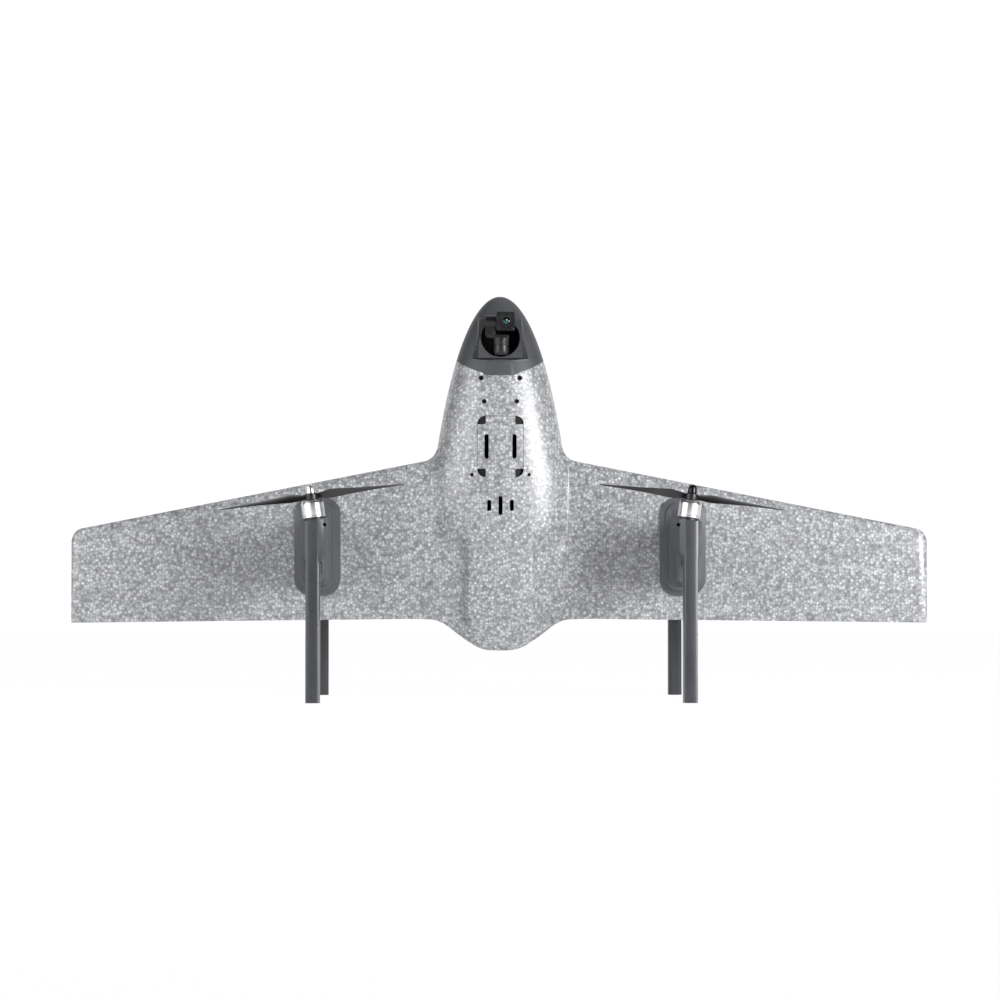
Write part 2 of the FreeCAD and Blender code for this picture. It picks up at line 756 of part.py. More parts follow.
def plate_prism(gap, start, travel):
    """The wing plate's outline with a margin, swept along Y."""
    half_width, half_height = plate_half_width + gap, (plate_high_z - plate_low_z) / 2 + gap
    wire = round_outline(pod_x, (plate_low_z + plate_high_z) / 2, half_width, half_height, plate_corner + gap, start)
    return Part.Face(wire).extrude(Vector(0, travel, 0))


def pod_pylon(skin):
    """A low boss on the plate, a flare of rounded sections and a straight strut out to the nacelle."""
    centre_z = (plate_low_z + plate_high_z) / 2
    boss_half_height = (plate_high_z - plate_low_z) / 2 - boss_margin
    root = skin - boss_corner / 3
    boss_wire = round_outline(pod_x, centre_z, boss_half_width, boss_half_height, boss_corner, -root)
    boss = Part.Face(boss_wire).extrude(Vector(0, root - skin - boss_rise, 0))
    flare_start, flare_depth, flare_inset, steps = skin + boss_rise - 2.0, 24.0, 3.0, 7
    wires = []
    for step in range(steps + 1):
        share = step / steps
        fade = (1 - share) ** 2.2
        half_width = pylon_half_width + (boss_half_width - flare_inset - pylon_half_width) * fade
        half_chord = pylon_half_chord + (boss_half_height - flare_inset - pylon_half_chord) * fade
        corner = pylon_half_width - 0.1 + (boss_corner - flare_inset - pylon_half_width) * fade
        z = pylon_z + (centre_z - pylon_z) * fade
        wires.append(round_outline(pod_x, z, half_width, half_chord, corner, -flare_start - flare_depth * share))
    flare = Part.makeLoft(wires, True, True)
    strut_start = flare_start + flare_depth
    strut = Part.Face(wires[-1]).extrude(Vector(0, strut_start - pod_y + 2.0, 0))
    return boss.fuse([flare, strut])


def pod_mount():
    """Wing plate, flared pylon and nacelle moulded as one piece, with a socket for the leg."""
    raised = wing_panel(wing_joint_x + 20, pod_x + 90, plate_proud)
    sunk = wing_panel(wing_joint_x + 20, pod_x + 90, -plate_inlay)
    plate = raised.common(plate_prism(0.0, -40, 40)).cut(sunk)
    pylon = pod_pylon(wing_thickness(pod_x) / 2).cut(sunk)
    nacelle = pod_prism(nacelle_section, nacelle_low_z, motor_z + 12)
    taper = Part.makeLoft([pod_wire(leg_section, leg_top_z), pod_wire(nacelle_section, nacelle_low_z)], True, True)
    below_motor = disc(80, -motor_gap - base_height, 60)
    mount = plate.fuse([pylon, nacelle, taper])
    mount = mount.cut(box((pod_x - 30, pod_x + 30), (-pod_y - 20, -pod_y + 30), (100, leg_top_z)))
    mount = mount.cut([below_motor, tenon_box(insert_gap, 1.0)])
    screw_seat = rod(pod_screw_hole_radius, pod_screw_point(-20.0), pod_screw_point(1.0))
    screw_bore = rod(pod_screw_radius + insert_gap / 2, pod_screw_point(0.0), pod_screw_point(screw_length))
    return mount.cut([screw_seat, screw_bore])


def pod_screw_point(deep):
    """The point on the pod screw's axis at a depth behind its head."""
    return (pod_x - pod_screw_x, -pod_y + deep, pod_screw_z)


def pod_screw():
    """The screw sunk in the nacelle's inboard facet."""
    return rod(pod_screw_radius, pod_screw_point(1.0), pod_screw_point(screw_length))


def motor_base():
    """Base plate, bearing tube and toothed stator, fixed to the nacelle."""
    plate = disc(bell_radius - 1.5, -motor_gap - base_height, -motor_gap)
    tube_part = disc(bearing_radius, -motor_gap, bell_lip + stator_height)
    core = disc(stator_radius - 4, bell_lip - 1.0, bell_lip + stator_height - 1.0)
    ring = disc(stator_radius, bell_lip, bell_lip + stator_height - 2.0)
    gaps = []
    for step in range(stator_teeth):
        slot = box((5.5, 14), (-0.6, 0.6), (-1, 30))
        slot.rotate(Vector(0, 0, 0), Vector(0, 0, 1), 360.0 * step / stator_teeth)
        gaps.append(slot)
    ring = ring.cut(on_rotor(gaps))
    bore = disc(shaft_radius + shaft_clearance, -motor_gap, 60)
    return plate.fuse([tube_part, core, ring]).cut(bore)


def motor_bell():
    """The turning can: a grooved wall, a windowed top and the shaft that carries the propeller."""
    outer = disc(bell_radius, 0, bell_height - 3.0)
    crown = Part.makeCone(bell_radius, bell_radius - 3.4, 3.0, on_axis(bell_height - 3.0), axis)
    groove = disc(bell_radius + 1, 2.4, 3.0).cut(disc(bell_radius - 0.35, 2.4, 3.0))
    hollow = disc(bell_radius - bell_wall, -1, bell_height - 2.4)
    windows = []
    for step in range(bell_windows):
        window = round_box((5.6, 9.6), (-2.4, 2.4), (bell_height - 6, bell_height + 4), 1.2, Vector(0, 0, 1))
        window.rotate(Vector(0, 0, 0), Vector(0, 0, 1), 360.0 * (step + 0.5) / bell_windows)
        windows.append(window)
    notch = box(
        (-bell_notch_half_width, bell_notch_half_width), (-2 * bell_radius, 2 * bell_radius), (-1, bell_notch_height)
    )
    bell = outer.fuse(crown).cut([groove, hollow, on_rotor(windows + [notch])])
    shaft = disc(shaft_radius, 0.5, bell_height)
    stud = disc(stud_radius, bell_height - 1.0, bell_height + hub_height + nut_height * 0.6)
    return bell.fuse([shaft, stud]).removeSplitter()


def blade_section(radius, chord, thickness, sweep):
    """A thin lens section of a blade, pitched by its advance per turn at that radius."""
    pitch = min(math.radians(root_pitch), math.atan2(prop_pitch, 2 * math.pi * radius))
    count = 7
    points = []
    for step in range(2 * count):
        angle = math.pi * step / count
        along = chord / 2 * math.cos(angle) + sweep
        rise = thickness / 2 * math.sin(angle) + 0.06 * chord * (1 - math.cos(angle) ** 2)
        points.append(
            Vector(radius, along * math.cos(pitch) - rise * math.sin(pitch), along * math.sin(pitch) + rise * math.cos(pitch))
        )
    curve = Part.BSplineCurve()
    curve.interpolate(points, PeriodicFlag=True)
    return Part.Wire(curve.toShape())


def blade():
    """One blade from hub to tip: chord and thickness follow smooth shares of the radius."""
    wires = []
    for share in (0.055, 0.12, 0.22, 0.36, 0.55, 0.75, 0.9, 0.97, 1.0):
        swell = math.sin(math.pi * min(1.0, (share + 0.1) / 0.9) ** 0.6) if share < 0.9 else 0.0
        chord = blade_chord * (0.42 + 0.58 * max(0.0, swell)) * (1.0 if share < 0.85 else 1.0 - 4.0 * (share - 0.85))
        thickness = blade_thickness * (1.5 - share)
        wires.append(blade_section(prop_radius * share, chord, thickness, 1.5 * (1 - share)))
    return Part.makeLoft(wires, True, False)


def propeller():
    """Two blades on a round hub, laid along the span at rest."""
    half = blade()
    other = half.copy()
    other.rotate(Vector(0, 0, 0), Vector(0, 0, 1), 180)
    blades = half.fuse(other)
    blades.Placement = FreeCAD.Placement(on_axis(bell_height + hub_height / 2), FreeCAD.Rotation(Vector(0, 1, 0), rotor_cant))
    hub = disc(hub_radius, bell_height, bell_height + hub_height)
    bore = disc(stud_radius + insert_gap / 2, bell_height - 1, bell_height + hub_height + 1)
    return blades.fuse(hub).cut(bore).removeSplitter()


def prop_nut():
    """A domed nut that clamps the hub on the stud."""
    low = bell_height + hub_height
    barrel = disc(nut_radius, low, low + nut_height - nut_radius)
    dome = Part.makeSphere(nut_radius, on_axis(low + nut_height - nut_radius))
    return barrel.fuse(dome).cut(disc(stud_radius + insert_gap / 2, low - 10, low + nut_height * 0.6)).common(
        disc(nut_radius + 1, low, low + nut_height + 1)
    )


wing = left_foam_wing()
mount = pod_mount()
recess = plate_prism(insert_gap, -40, 80).cut(wing_panel(wing_joint_x + 20, pod_x + 90, -plate_inlay - insert_gap))
wing = wing.cut(recess).cut(spar_bores).cut(harness_cut)

pod_screws = [pod_screw()]
pod_screws += [mirror_x(screw) for screw in pod_screws]
pod_screws += [mirror_y(screw) for screw in pod_screws]

nodes = {
    "fuselage_foam": foam,
    "left_wing": wing,
    "right_wing": mirror_x(wing),
    "nose_cover": nose_cover,
    "gimbal_bay_liner": liner,
    "gimbal_base": gimbal_base,
    "gimbal_arm": gimbal_arm,
    "camera_body": camera_body,
    "lens_barrel": lens_barrel,
    "lens_glass": lens_glass,
    "belly_hatch": hatch,
    "hatch_latches": hatch_latches,
    "belly_screws": belly_screws,
    "pod_screws": Part.makeCompound(pod_screws),
    "main_spar": main_spar,
    "rear_spar": rear_spar,
    "left_wing_harness": left_harness,
    "right_wing_harness": mirror_x(left_harness),
    "battery": battery,
    "flight_controller": flight_controller,
    "speed_controller": speed_controller,
    "board_standoffs": board_standoffs,
    "radio_receiver": radio_receiver,
    "gps_receiver": gps_receiver,
}

pod_pieces = {
    "pod_mount": mount,
    "leg": leg(),
    "motor_base": motor_base(),
    "motor_bell": motor_bell(),
    "propeller": propeller(),
    "prop_nut": prop_nut(),
}
for piece, shape in pod_pieces.items():
    nodes["left_belly_" + piece] = shape
    nodes["right_belly_" + piece] = mirror_x(shape)
    nodes["left_top_" + piece] = mirror_y(shape)
    nodes["right_top_" + piece] = mirror_x(mirror_y(shape))

for name, shape in nodes.items():
    solids_of(shape).exportStep("parts/" + name + ".step")
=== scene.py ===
import math

import bmesh
import bpy
import numpy as np
from mathutils import Matrix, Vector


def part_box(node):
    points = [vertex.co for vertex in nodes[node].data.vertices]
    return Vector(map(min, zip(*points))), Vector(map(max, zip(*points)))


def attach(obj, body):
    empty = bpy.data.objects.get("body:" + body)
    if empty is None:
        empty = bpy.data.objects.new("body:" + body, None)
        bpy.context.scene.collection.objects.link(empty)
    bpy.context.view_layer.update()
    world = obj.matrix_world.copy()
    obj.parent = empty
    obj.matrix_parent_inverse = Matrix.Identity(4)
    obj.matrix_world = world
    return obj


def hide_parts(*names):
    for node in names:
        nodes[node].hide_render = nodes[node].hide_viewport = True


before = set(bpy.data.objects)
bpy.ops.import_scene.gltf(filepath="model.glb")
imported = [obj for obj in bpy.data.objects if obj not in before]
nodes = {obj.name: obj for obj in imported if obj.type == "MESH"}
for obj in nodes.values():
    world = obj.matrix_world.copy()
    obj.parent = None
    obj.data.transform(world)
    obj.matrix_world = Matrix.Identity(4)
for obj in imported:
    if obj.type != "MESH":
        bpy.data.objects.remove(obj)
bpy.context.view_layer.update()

scene = bpy.context.scene

# Camera
# The photograph looks square at the belly from about four metres, a little below
# the middle of the wing and a touch towards the aircraft's right.
view_distance = 4.018
view_turn = math.radians(-0.85)
view_rise = math.radians(-1.43)
aim = np.array([0.0, 0.0, 0.2517])
level = math.cos(view_rise)
sight = np.array([math.sin(view_turn) * level, -math.cos(view_turn) * level, math.sin(view_rise)])
camera = bpy.data.objects.new("camera", bpy.data.cameras.new("camera"))
scene.collection.objects.link(camera)
camera.location = aim + sight * view_distance
camera.rotation_euler = (math.pi / 2 - view_rise, 0.0, view_turn)
camera.data.lens = 114.0
camera.data.sensor_width = 36.0
scene.camera = camera

# Room and light
# A white floor and a white wall behind, one large soft lamp at the right that draws the long
# highlight down the body and throws the pods' shadows leftwards, a weaker one at the left.


def paper_white(name, keep):
    """Matt white paper: most of its white is its own to the camera, the rest is lit and keeps the shadow."""
    material = bpy.data.materials.new(name)
    material.use_nodes = True
    tree = material.node_tree
    tree.nodes.clear()
    output = tree.nodes.new("ShaderNodeOutputMaterial")
    paper = tree.nodes.new("ShaderNodeBsdfDiffuse")
    paper.inputs["Color"].default_value = (0.9, 0.9, 0.9, 1)
    glow = tree.nodes.new("ShaderNodeEmission")
    glow.inputs["Strength"].default_value = 1.03
    path = tree.nodes.new("ShaderNodeLightPath")
    seen = tree.nodes.new("ShaderNodeMath")
    seen.operation = "MAXIMUM"
    seen_too = tree.nodes.new("ShaderNodeMath")
    seen_too.operation = "MAXIMUM"
    share = tree.nodes.new("ShaderNodeMath")
    share.operation = "MULTIPLY"
    share.inputs[1].default_value = keep
    mix = tree.nodes.new("ShaderNodeMixShader")
    link = tree.links.new
    link(path.outputs["Is Camera Ray"], seen.inputs[0])
    link(path.outputs["Is Glossy Ray"], seen.inputs[1])
    link(seen.outputs[0], seen_too.inputs[0])
    link(path.outputs["Is Transmission Ray"], seen_too.inputs[1])
    link(seen_too.outputs[0], share.inputs[0])
    link(share.outputs[0], mix.inputs["Fac"])
    link(paper.outputs[0], mix.inputs[1])
    link(glow.outputs[0], mix.inputs[2])
    link(mix.outputs[0], output.inputs["Surface"])
    return material


def card(name, corners, material):
    """A flat four-cornered card."""
    mesh = bpy.data.meshes.new(name)
    mesh.from_pydata(corners, [], [(0, 1, 2, 3)])
    thing = bpy.data.objects.new(name, mesh)
    scene.collection.objects.link(thing)
    mesh.materials.append(material)
    return thing


room_half = 9.0
wall_y = 5.0
wall_foot = -0.01
floor_corners = [
    (-room_half, -room_half, 0),
    (room_half, -room_half, 0),
    (room_half, wall_y, 0),
    (-room_half, wall_y, 0),
]
wall_corners = [
    (-room_half, wall_y, wall_foot),
    (room_half, wall_y, wall_foot),
    (room_half, wall_y, room_half),
    (-room_half, wall_y, room_half),
]
card("floor", floor_corners, paper_white("floor_paper", 0.955))
card("backdrop", wall_corners, paper_white("backdrop_paper", 1.0))


def softbox(name, towards, distance, width, height, power):
    """A rectangular lamp on the line from the aircraft towards a direction, facing it."""
    lamp = bpy.data.lights.new(name, "AREA")
    lamp.shape = "RECTANGLE"
    lamp.size = width
    lamp.size_y = height
    lamp.energy = power
    thing = bpy.data.objects.new(name, lamp)
    scene.collection.objects.link(thing)
    direction = np.array(towards) / np.linalg.norm(towards)
    thing.location = aim + direction * distance
    pitch = math.acos(direction[2])
    turn = math.atan2(direction[0], -direction[1])
    thing.rotation_euler = (pitch, 0.0, turn)
    return thing


softbox("key_lamp", (0.73, -0.67, 0.13), distance=3.0, width=1.0, height=1.4, power=97)
softbox("fill_lamp", (-0.80, -0.58, 0.10), distance=2.5, width=2.2, height=2.2, power=50)
softbox("top_lamp", (0.1, 0.2, 0.97), distance=2.6, width=2.4, height=1.6, power=7)

world = bpy.data.worlds.new("studio")
scene.world = world
world.use_nodes = True
world.node_tree.nodes["Background"].inputs["Color"].default_value = (1.0, 1.0, 1.0, 1)
world.node_tree.nodes["Background"].inputs["Strength"].default_value = 0.10
scene.view_settings.view_transform = "Standard"

# Foam airframe
# Body and wings are one light grey moulding of fused foam beads: a deep body that runs out over the swept
# wing, with a flat-topped hump at the belly's tail, cut for cover, hatch, battery, vents and screws.
mm = 0.001
nose_z = 510.0
tail_z = 60.9
depth = {-1: 47.0, 1: 45.0}
half_span = 542.5
leading_root_z, leading_slope = 319.8, 0.1967
trailing_root_z, trailing_slope = 102.2, 0.0112
wing_half_depth, tip_thinning, edge_half_depth = 31.0, 17.0, 1.0
tip_start_x, tip_radius, tip_corner = 529.5, 13.0, 15.0
join_x, join_low_z = 118.0, 100.87
fillet, fillet_x, fillet_z = 20.0, 99.8, 320.5
fillet_low_z, fillet_high_z = 300.9, 317.5
web_radius = 9.0
nose_length = 168.0
lip_low_z, nose_rows_z = 98.0, 318.5
hump_half_width = 41.0


def blend_curve(at, knots, values):
    """Smooth cubic through knots: slopes are harmonic means of the steps beside them, so none overshoots."""
    knots = np.asarray(knots, float)
    values = np.asarray(values, float)
    step = np.diff(knots)
    rise = np.diff(values) / step
    slope = np.zeros_like(values)
    same = rise[1:] * rise[:-1] > 0
    total = np.where(same, rise[1:] + rise[:-1], 1.0)
    slope[1:-1] = np.where(same, 2.0 * rise[1:] * rise[:-1] / total, 0.0)
    slope[0], slope[-1] = rise[0], rise[-1]
    at = np.clip(at, knots[0], knots[-1])
    cell = np.clip(np.searchsorted(knots, at) - 1, 0, len(step) - 1)
    t = (at - knots[cell]) / step[cell]
    return (
        (2 * t**3 - 3 * t**2 + 1) * values[cell]
        + (t**3 - 2 * t**2 + t) * step[cell] * slope[cell]
        + (-2 * t**3 + 3 * t**2) * values[cell + 1]
        + (t**3 - t**2) * step[cell] * slope[cell + 1]
    )


def fade(at, low, high):
    """Zero below low, one above high, with a smooth cubic between."""
    t = np.clip((at - low) / (high - low), 0, 1)
    return t * t * (3 - 2 * t)


def soft_max(a, b, width):
    """The larger of two heights, rounded over a band of that width where they cross."""
    gap = np.clip(width - np.abs(a - b), 0, None) / width
    return np.maximum(a, b) + width * gap * gap / 4


def nose_half_width(z):
    """Half width of the body forward of the wing: a parabola that slowly tightens."""
    s = np.clip(nose_z - z, 0, 200)
    return np.sqrt(s * (41.0 - 0.043 * s))


def edge_lines(x):
    """Trailing and leading edge heights of the straight-tapered wing."""
    reach = np.abs(x)
    return trailing_root_z - trailing_slope * reach, leading_root_z - leading_slope * reach


def outline_half_width(z):
    """Half width of the middle part: nose curve, fillet arc, leading edge, joint, then the tail's S-curve."""
    tail = blend_curve(
        z,
        [tail_z, 61.1, 62.3, 64.6, 72.8, 81.6, 91.3, 97.0, 99.2, 100.4, join_low_z],
        [0.0, 12.7, 19.5, 26.7, 40.9, 53.4, 65.9, 75.2, 81.8, 90.0, join_x],
    )
    arc = fillet_x - np.sqrt(np.clip(fillet**2 - (fillet_z - z) ** 2, 0, None))
    edge = np.minimum((leading_root_z - z) / leading_slope, join_x)
    wide = np.where(z > fillet_high_z, nose_half_width(z), np.where(z > fillet_low_z, arc, edge))
    return np.where(z < join_low_z, tail, wide)


def wing_height(x, z):
    """Half thickness of the wing.

    The four-digit airfoil polynomial of the share a of the chord behind the leading edge, times a depth
    that thins evenly towards the tip, plus a thin square trailing edge that grows with a.
    """
    low, high = edge_lines(x)
    a = np.clip((high - z) / (high - low), 0, 1)
    t = wing_half_depth - tip_thinning * np.abs(x) / half_span
    section = 1.4845 * np.sqrt(a) - 0.63 * a - 1.758 * a**2 + 1.4215 * a**3 - 0.518 * a**4
    return t * section + edge_half_depth * a


def web_height(x, z):
    """Rounded edge of the fillet between body and wing.

    A quarter round of the distance inside the outline, which is taken square to the nose curve and to the
    leading edge (0.989 and 0.981 are the cosines of their slopes). It fades out along the body.
    """
    a = -(nose_half_width(z) - np.abs(x)) * 0.989
    b = -(edge_lines(x)[1] - z) * 0.981
    reach = np.hypot(np.clip(fillet - a, 0, None), np.clip(fillet - b, 0, None))
    inside = np.clip(reach - np.maximum(fillet, np.minimum(a, b)), 0, None)
    inside = np.where(np.minimum(a, b) > fillet, 0, inside)
    inside = np.minimum(inside, web_radius)
    round_edge = np.sqrt(inside * (2 * web_radius - inside))
    return round_edge * (1 - fade(z, 322, 345)) * fade(z, 270, 290)


def body_height(x, z, face):
    """Height of the body over the wing plane on the belly (-1) or the back (1).

    Forward: depth times the root of a sine at the nose, times an oval across the width. Towards the tail
    the back turns to a low bell. So does the belly, with a hump on it: an almost flat crown between walls
    that are a rounded corner of slope 0.85 times 2, narrowing to a round tip.
    """
    fore = np.sqrt(np.sin(np.pi / 2 * np.clip((nose_z - z) / nose_length, 0, 1)))
    aft = blend_curve(
        z,
        [tail_z, 63, 67, 75, 90, 105, 130, 160, 190, 215, 240, 270, 300],
        [0.02, 0.08, 0.15, 0.25, 0.37, 0.45, 0.56, 0.68, 0.79, 0.87, 0.94, 0.99, 1.0],
    )
    top = depth[face] * fore * aft
    middle = blend_curve(z, [190, 215, 240, 270, 292, 306], [80, 85.5, 87, 87, 85.5, 80.9])
    width = np.where(z > 306, nose_half_width(z), middle)
    oval = (1 - np.clip(np.abs(x) / width, 0, 1) ** 2.15) ** 0.56
    run_out = blend_curve(z, [98.3, 104, 115, 130, 150, 175], [74.5, 80, 89, 98, 107, 112])
    tail_width = np.where(z < 98.3, np.maximum(outline_half_width(z), 1.0), run_out)
    bell = (1 - np.clip(np.abs(x) / tail_width, 0, 1) ** 2) ** 1.35
    wide = fade(z, 180, 216)
    main = top * oval
    if face > 0:
        low = top * bell
        return low + (main - low) * wide
    low = (top - 8.0 * fade(z, 62, 100)) * bell
    beyond = np.abs(x) - hump_half_width
    hump = top * (1 - 0.10 * (x / hump_half_width) ** 2) - 0.85 * (np.hypot(beyond, 2.0) + beyond)
    narrow = np.clip(outline_half_width(z) - 4, 1, None)
    tip = top * np.clip(1 - np.abs(x / narrow) ** 2.5, 0, 1)
    hump = tip + (hump - tip) * fade(z, 76, 104)
    low = soft_max(low, hump - 0.6, 4.5)
    return low + (main - low) * wide


def foam_height(x, z, face):
    """Height of the foam skin on one face, all forms blended softly into each other."""
    wing = soft_max(wing_height(x, z), web_height(x, z), 1.5)
    wing = np.where(z > edge_lines(x)[1], web_height(x, z), wing)
    body = body_height(x, z, face)
    near = fade(outline_half_width(z) - np.abs(x), 0, 6.0)
    blended = soft_max(wing, body, 12.0)
    return np.where(z > 318, body, np.maximum(wing, body) + (blended - np.maximum(wing, body)) * near)


def mesh_object(name, points, faces, smooth=True):
    """A new object at the origin from an array of points in metres and a list of faces."""
    mesh = bpy.data.meshes.new(name)
    mesh.from_pydata(points.tolist(), [], faces)
    mesh.update()
    thing = bpy.data.objects.new(name, mesh)
    scene.collection.objects.link(thing)
    if smooth:
        mesh.polygons.foreach_set("use_smooth", np.ones(len(mesh.polygons), bool))
    return thing


def grid_faces(rows, columns, offset=0, flip=False, wrap=False):
    """Quads of a grid whose points run column by column within each row."""
    r, c = np.meshgrid(np.arange(rows - 1), np.arange(columns if wrap else columns - 1), indexing="ij")
    right = (c + 1) % columns
    here, above = r * columns, (r + 1) * columns
    quad = np.stack([here + c, here + right, above + right, above + c], -1)
    quad = quad.reshape(-1, 4) + offset
    return (quad[:, ::-1] if flip else quad).tolist()


def clean(thing, distance=0.00002, sharp=None):
    """Merges doubled points, drops empty faces and points every face outwards."""
    work = bmesh.new()
    work.from_mesh(thing.data)
    bmesh.ops.remove_doubles(work, verts=work.verts, dist=distance)
    bmesh.ops.dissolve_degenerate(work, edges=work.edges, dist=distance / 2)
    bmesh.ops.recalc_face_normals(work, faces=work.faces)
    work.to_mesh(thing.data)
    work.free()
    thing.data.polygons.foreach_set("use_smooth", np.ones(len(thing.data.polygons), bool))
    if sharp is not None:
        thing.data.set_sharp_from_angle(angle=math.radians(sharp))
    return thing


def foam_skin():
    """The whole foam skin as grids of rows of equal height, belly and back, closed at every edge.

    The middle part's columns share its half width by a mix of sine and straight spacing. The wing's
    columns run out along the span and turn through a quarter circle at the tip. Every row of the wing
    meets one of the middle part at the joint.
    """
    join_high_z = leading_root_z - leading_slope * join_x
    turn = np.linspace(0, 1, 72) * np.pi * 0.5
    wing_rows = join_low_z + (join_high_z - join_low_z) * (1 - np.cos(turn))
    wing_rows = np.sort(join_high_z - (wing_rows - join_low_z))
    tail_rows = tail_z + (lip_low_z - tail_z) * np.linspace(0, 1, 30)[:-1] ** 1.7
    lip_rows = np.linspace(lip_low_z, join_low_z, 12)[:-1]
    fillet_rows = np.linspace(join_high_z, nose_rows_z, 34)[1:]
    nose_rows = nose_z - (nose_z - nose_rows_z) * (1 - np.linspace(0, 1, 70)[1:]) ** 1.6
    rows = np.concatenate([tail_rows, lip_rows, wing_rows, fillet_rows, nose_rows])
    u = np.linspace(-1, 1, 165)
    share = np.sin(u * np.pi / 2) * 0.6 + u * 0.4
    x = outline_half_width(rows)[:, None] * share[None, :]
    z = np.repeat(rows[:, None], len(u), 1)
    end = np.abs(share)[None, :] > 0.9999
    open_side = (rows > join_low_z - 0.01) & (rows < join_high_z + 0.01)
    at_joint = end & open_side[:, None]
    square = np.where(rows < join_low_z + 0.01, edge_half_depth, 0.0)[:, None]
    points, faces = [], []
    for face in (-1, 1):
        height = np.where(end & ~at_joint, square, foam_height(x, z, face))
        height = np.where(at_joint, wing_height(x, z), height)
        height = np.maximum(height, square)
        faces += grid_faces(len(rows), len(u), len(points) * x.size, flip=face > 0)
        points.append(np.stack([x, face * height, z], -1).reshape(-1, 3))
    middle, columns = x.size, len(u)
    for r in range(np.count_nonzero(rows < join_low_z + 0.01) - 1):
        for c in (0, columns - 1):
            a, b = r * columns + c, (r + 1) * columns + c
            faces.append((a, b, b + middle, a + middle) if c else (a, a + middle, b + middle, b))
    offset = 2 * middle
    portion = (wing_rows - join_low_z) / (join_high_z - join_low_z)
    inner = np.linspace(join_x, tip_start_x, 56)
    turn = np.linspace(0, np.pi / 2, 13)[1:]
    spans = np.concatenate([inner, tip_start_x + tip_radius * np.sin(turn)])
    shrink = np.concatenate([np.ones(len(inner)), np.clip(np.cos(turn), 0.0, 1)])
    corner = np.concatenate([np.zeros(len(inner)), tip_corner * (1 - np.cos(turn))])
    low, high = edge_lines(spans)
    high = high - corner
    wing_z = low[:, None] + (high - low)[:, None] * portion[None, :]
    wing_x = np.repeat(spans[:, None], len(portion), 1)
    full_low, full_high = edge_lines(wing_x)
    full_z = np.clip(full_low + (full_high - full_low) * portion, 0, None)
    wing_y = wing_height(wing_x, full_z) * shrink[:, None]
    for side in (-1, 1):
        for face in (-1, 1):
            flip = (side > 0) == (face < 0)
            faces += grid_faces(len(spans), len(portion), offset, flip=flip)
            points.append(np.stack([side * wing_x, face * wing_y, wing_z], -1).reshape(-1, 3))
            offset += wing_x.size
        start = offset - 2 * wing_x.size
        for s in range(len(spans) - 1):
            a, b = start + s * len(portion), start + (s + 1) * len(portion)
            faces.append((a, b, b + wing_x.size, a + wing_x.size))
    return mesh_object("foam_skin", np.concatenate(points) * mm, faces)


def block_cutter(name, outline, near_y, far_y):
    """A closed block: a flat outline in X and Z, carried along Y from near to far."""
    count = len(outline)
    points = [np.stack([outline[:, 0], np.full(count, y), outline[:, 1]], -1) for y in (near_y, far_y)]
    faces = grid_faces(2, count, wrap=True)
    faces += [list(range(count))[::-1], [count + i for i in range(count)]]
    return clean(mesh_object(name, np.concatenate(points) * mm, faces, smooth=False))


def slot_cutter(name, x, z, half_width, half_height, y, corner=None):
    """An upright block whose outline is a rectangle with a quarter circle at each corner."""
    corner = min(half_width, half_height) if corner is None else corner
    turns = np.linspace(0, np.pi / 2, 9)
    outline = []
    for quarter, (sx, sz) in enumerate([(1, 1), (-1, 1), (-1, -1), (1, -1)]):
        angle = turns + quarter * np.pi / 2
        cx = x + sx * (half_width - corner)
        cz = z + sz * (half_height - corner)
        outline.append(np.stack([cx + corner * np.cos(angle), cz + corner * np.sin(angle)], -1))
    return block_cutter(name, np.concatenate(outline), *y)


def seam_cutter():
    """Everything forward of the nose seam: an arc in X and Z with a short flat tongue at its lowest point."""
    radius, low, reach, tongue = 87.0, 408.0, 75.0, 17.2
    ramp, drop, beyond_nose = 7.0, 4.0, 560.0
    turn = np.linspace(-1, 1, 61) * math.asin(reach / radius)
    x = radius * np.sin(turn)
    z = low + radius - radius * np.cos(turn)
    side = np.clip((np.abs(x) - tongue) / ramp, 0, 1)
    z = np.where(np.abs(x) < tongue + ramp, np.minimum(z, low - 0.4 + drop * side), z)
    outline = np.concatenate([np.stack([x, z], -1), [[reach, beyond_nose], [-reach, beyond_nose]]])
    return block_cutter("seam_cutter", outline, -80.0, 80.0)


def carve(thing, cutter, operation="DIFFERENCE"):
    """Cuts one closed mesh with another and bakes the result into the mesh."""
    step = thing.modifiers.new("carve", "BOOLEAN")
    step.object = cutter
    step.operation = operation
    step.solver = "EXACT"
    graph = bpy.context.evaluated_depsgraph_get()
    mesh = bpy.data.meshes.new_from_object(thing.evaluated_get(graph))
    thing.modifiers.clear()
    old = thing.data
    thing.data = mesh
    bpy.data.meshes.remove(old)
    bpy.data.objects.remove(cutter)
    return thing


foam = clean(foam_skin(), 0.00003)
scene.view_layers[0].update()
hatch = foam.copy()
hatch.data = foam.data.copy()
hatch.name = "hatch_lid"
scene.collection.objects.link(hatch)

hatch_z, hatch_w, hatch_h, hatch_corner = 317.8, 29.2, 38.5, 10.0
bay_half_width, bay_half_height, bay_corner = 22.1, 35.3, 2.0
outside_y, seat_y, bay_mouth_y, bay_floor_y, vent_floor_y, screw_floor_y = -60, -34.7, -40, 11, -30, -26
vent_z, vent_half_width = 243.8, 2.5
vents = ((0.0, 11.9), (-14.2, 7.0), (14.2, 7.0))
screw_holes = ((24.3, 404.2, 3.0), (20.4, 374.6, 2.9), (36.0, 282.4, 2.2))
edge_angle = math.radians(38)

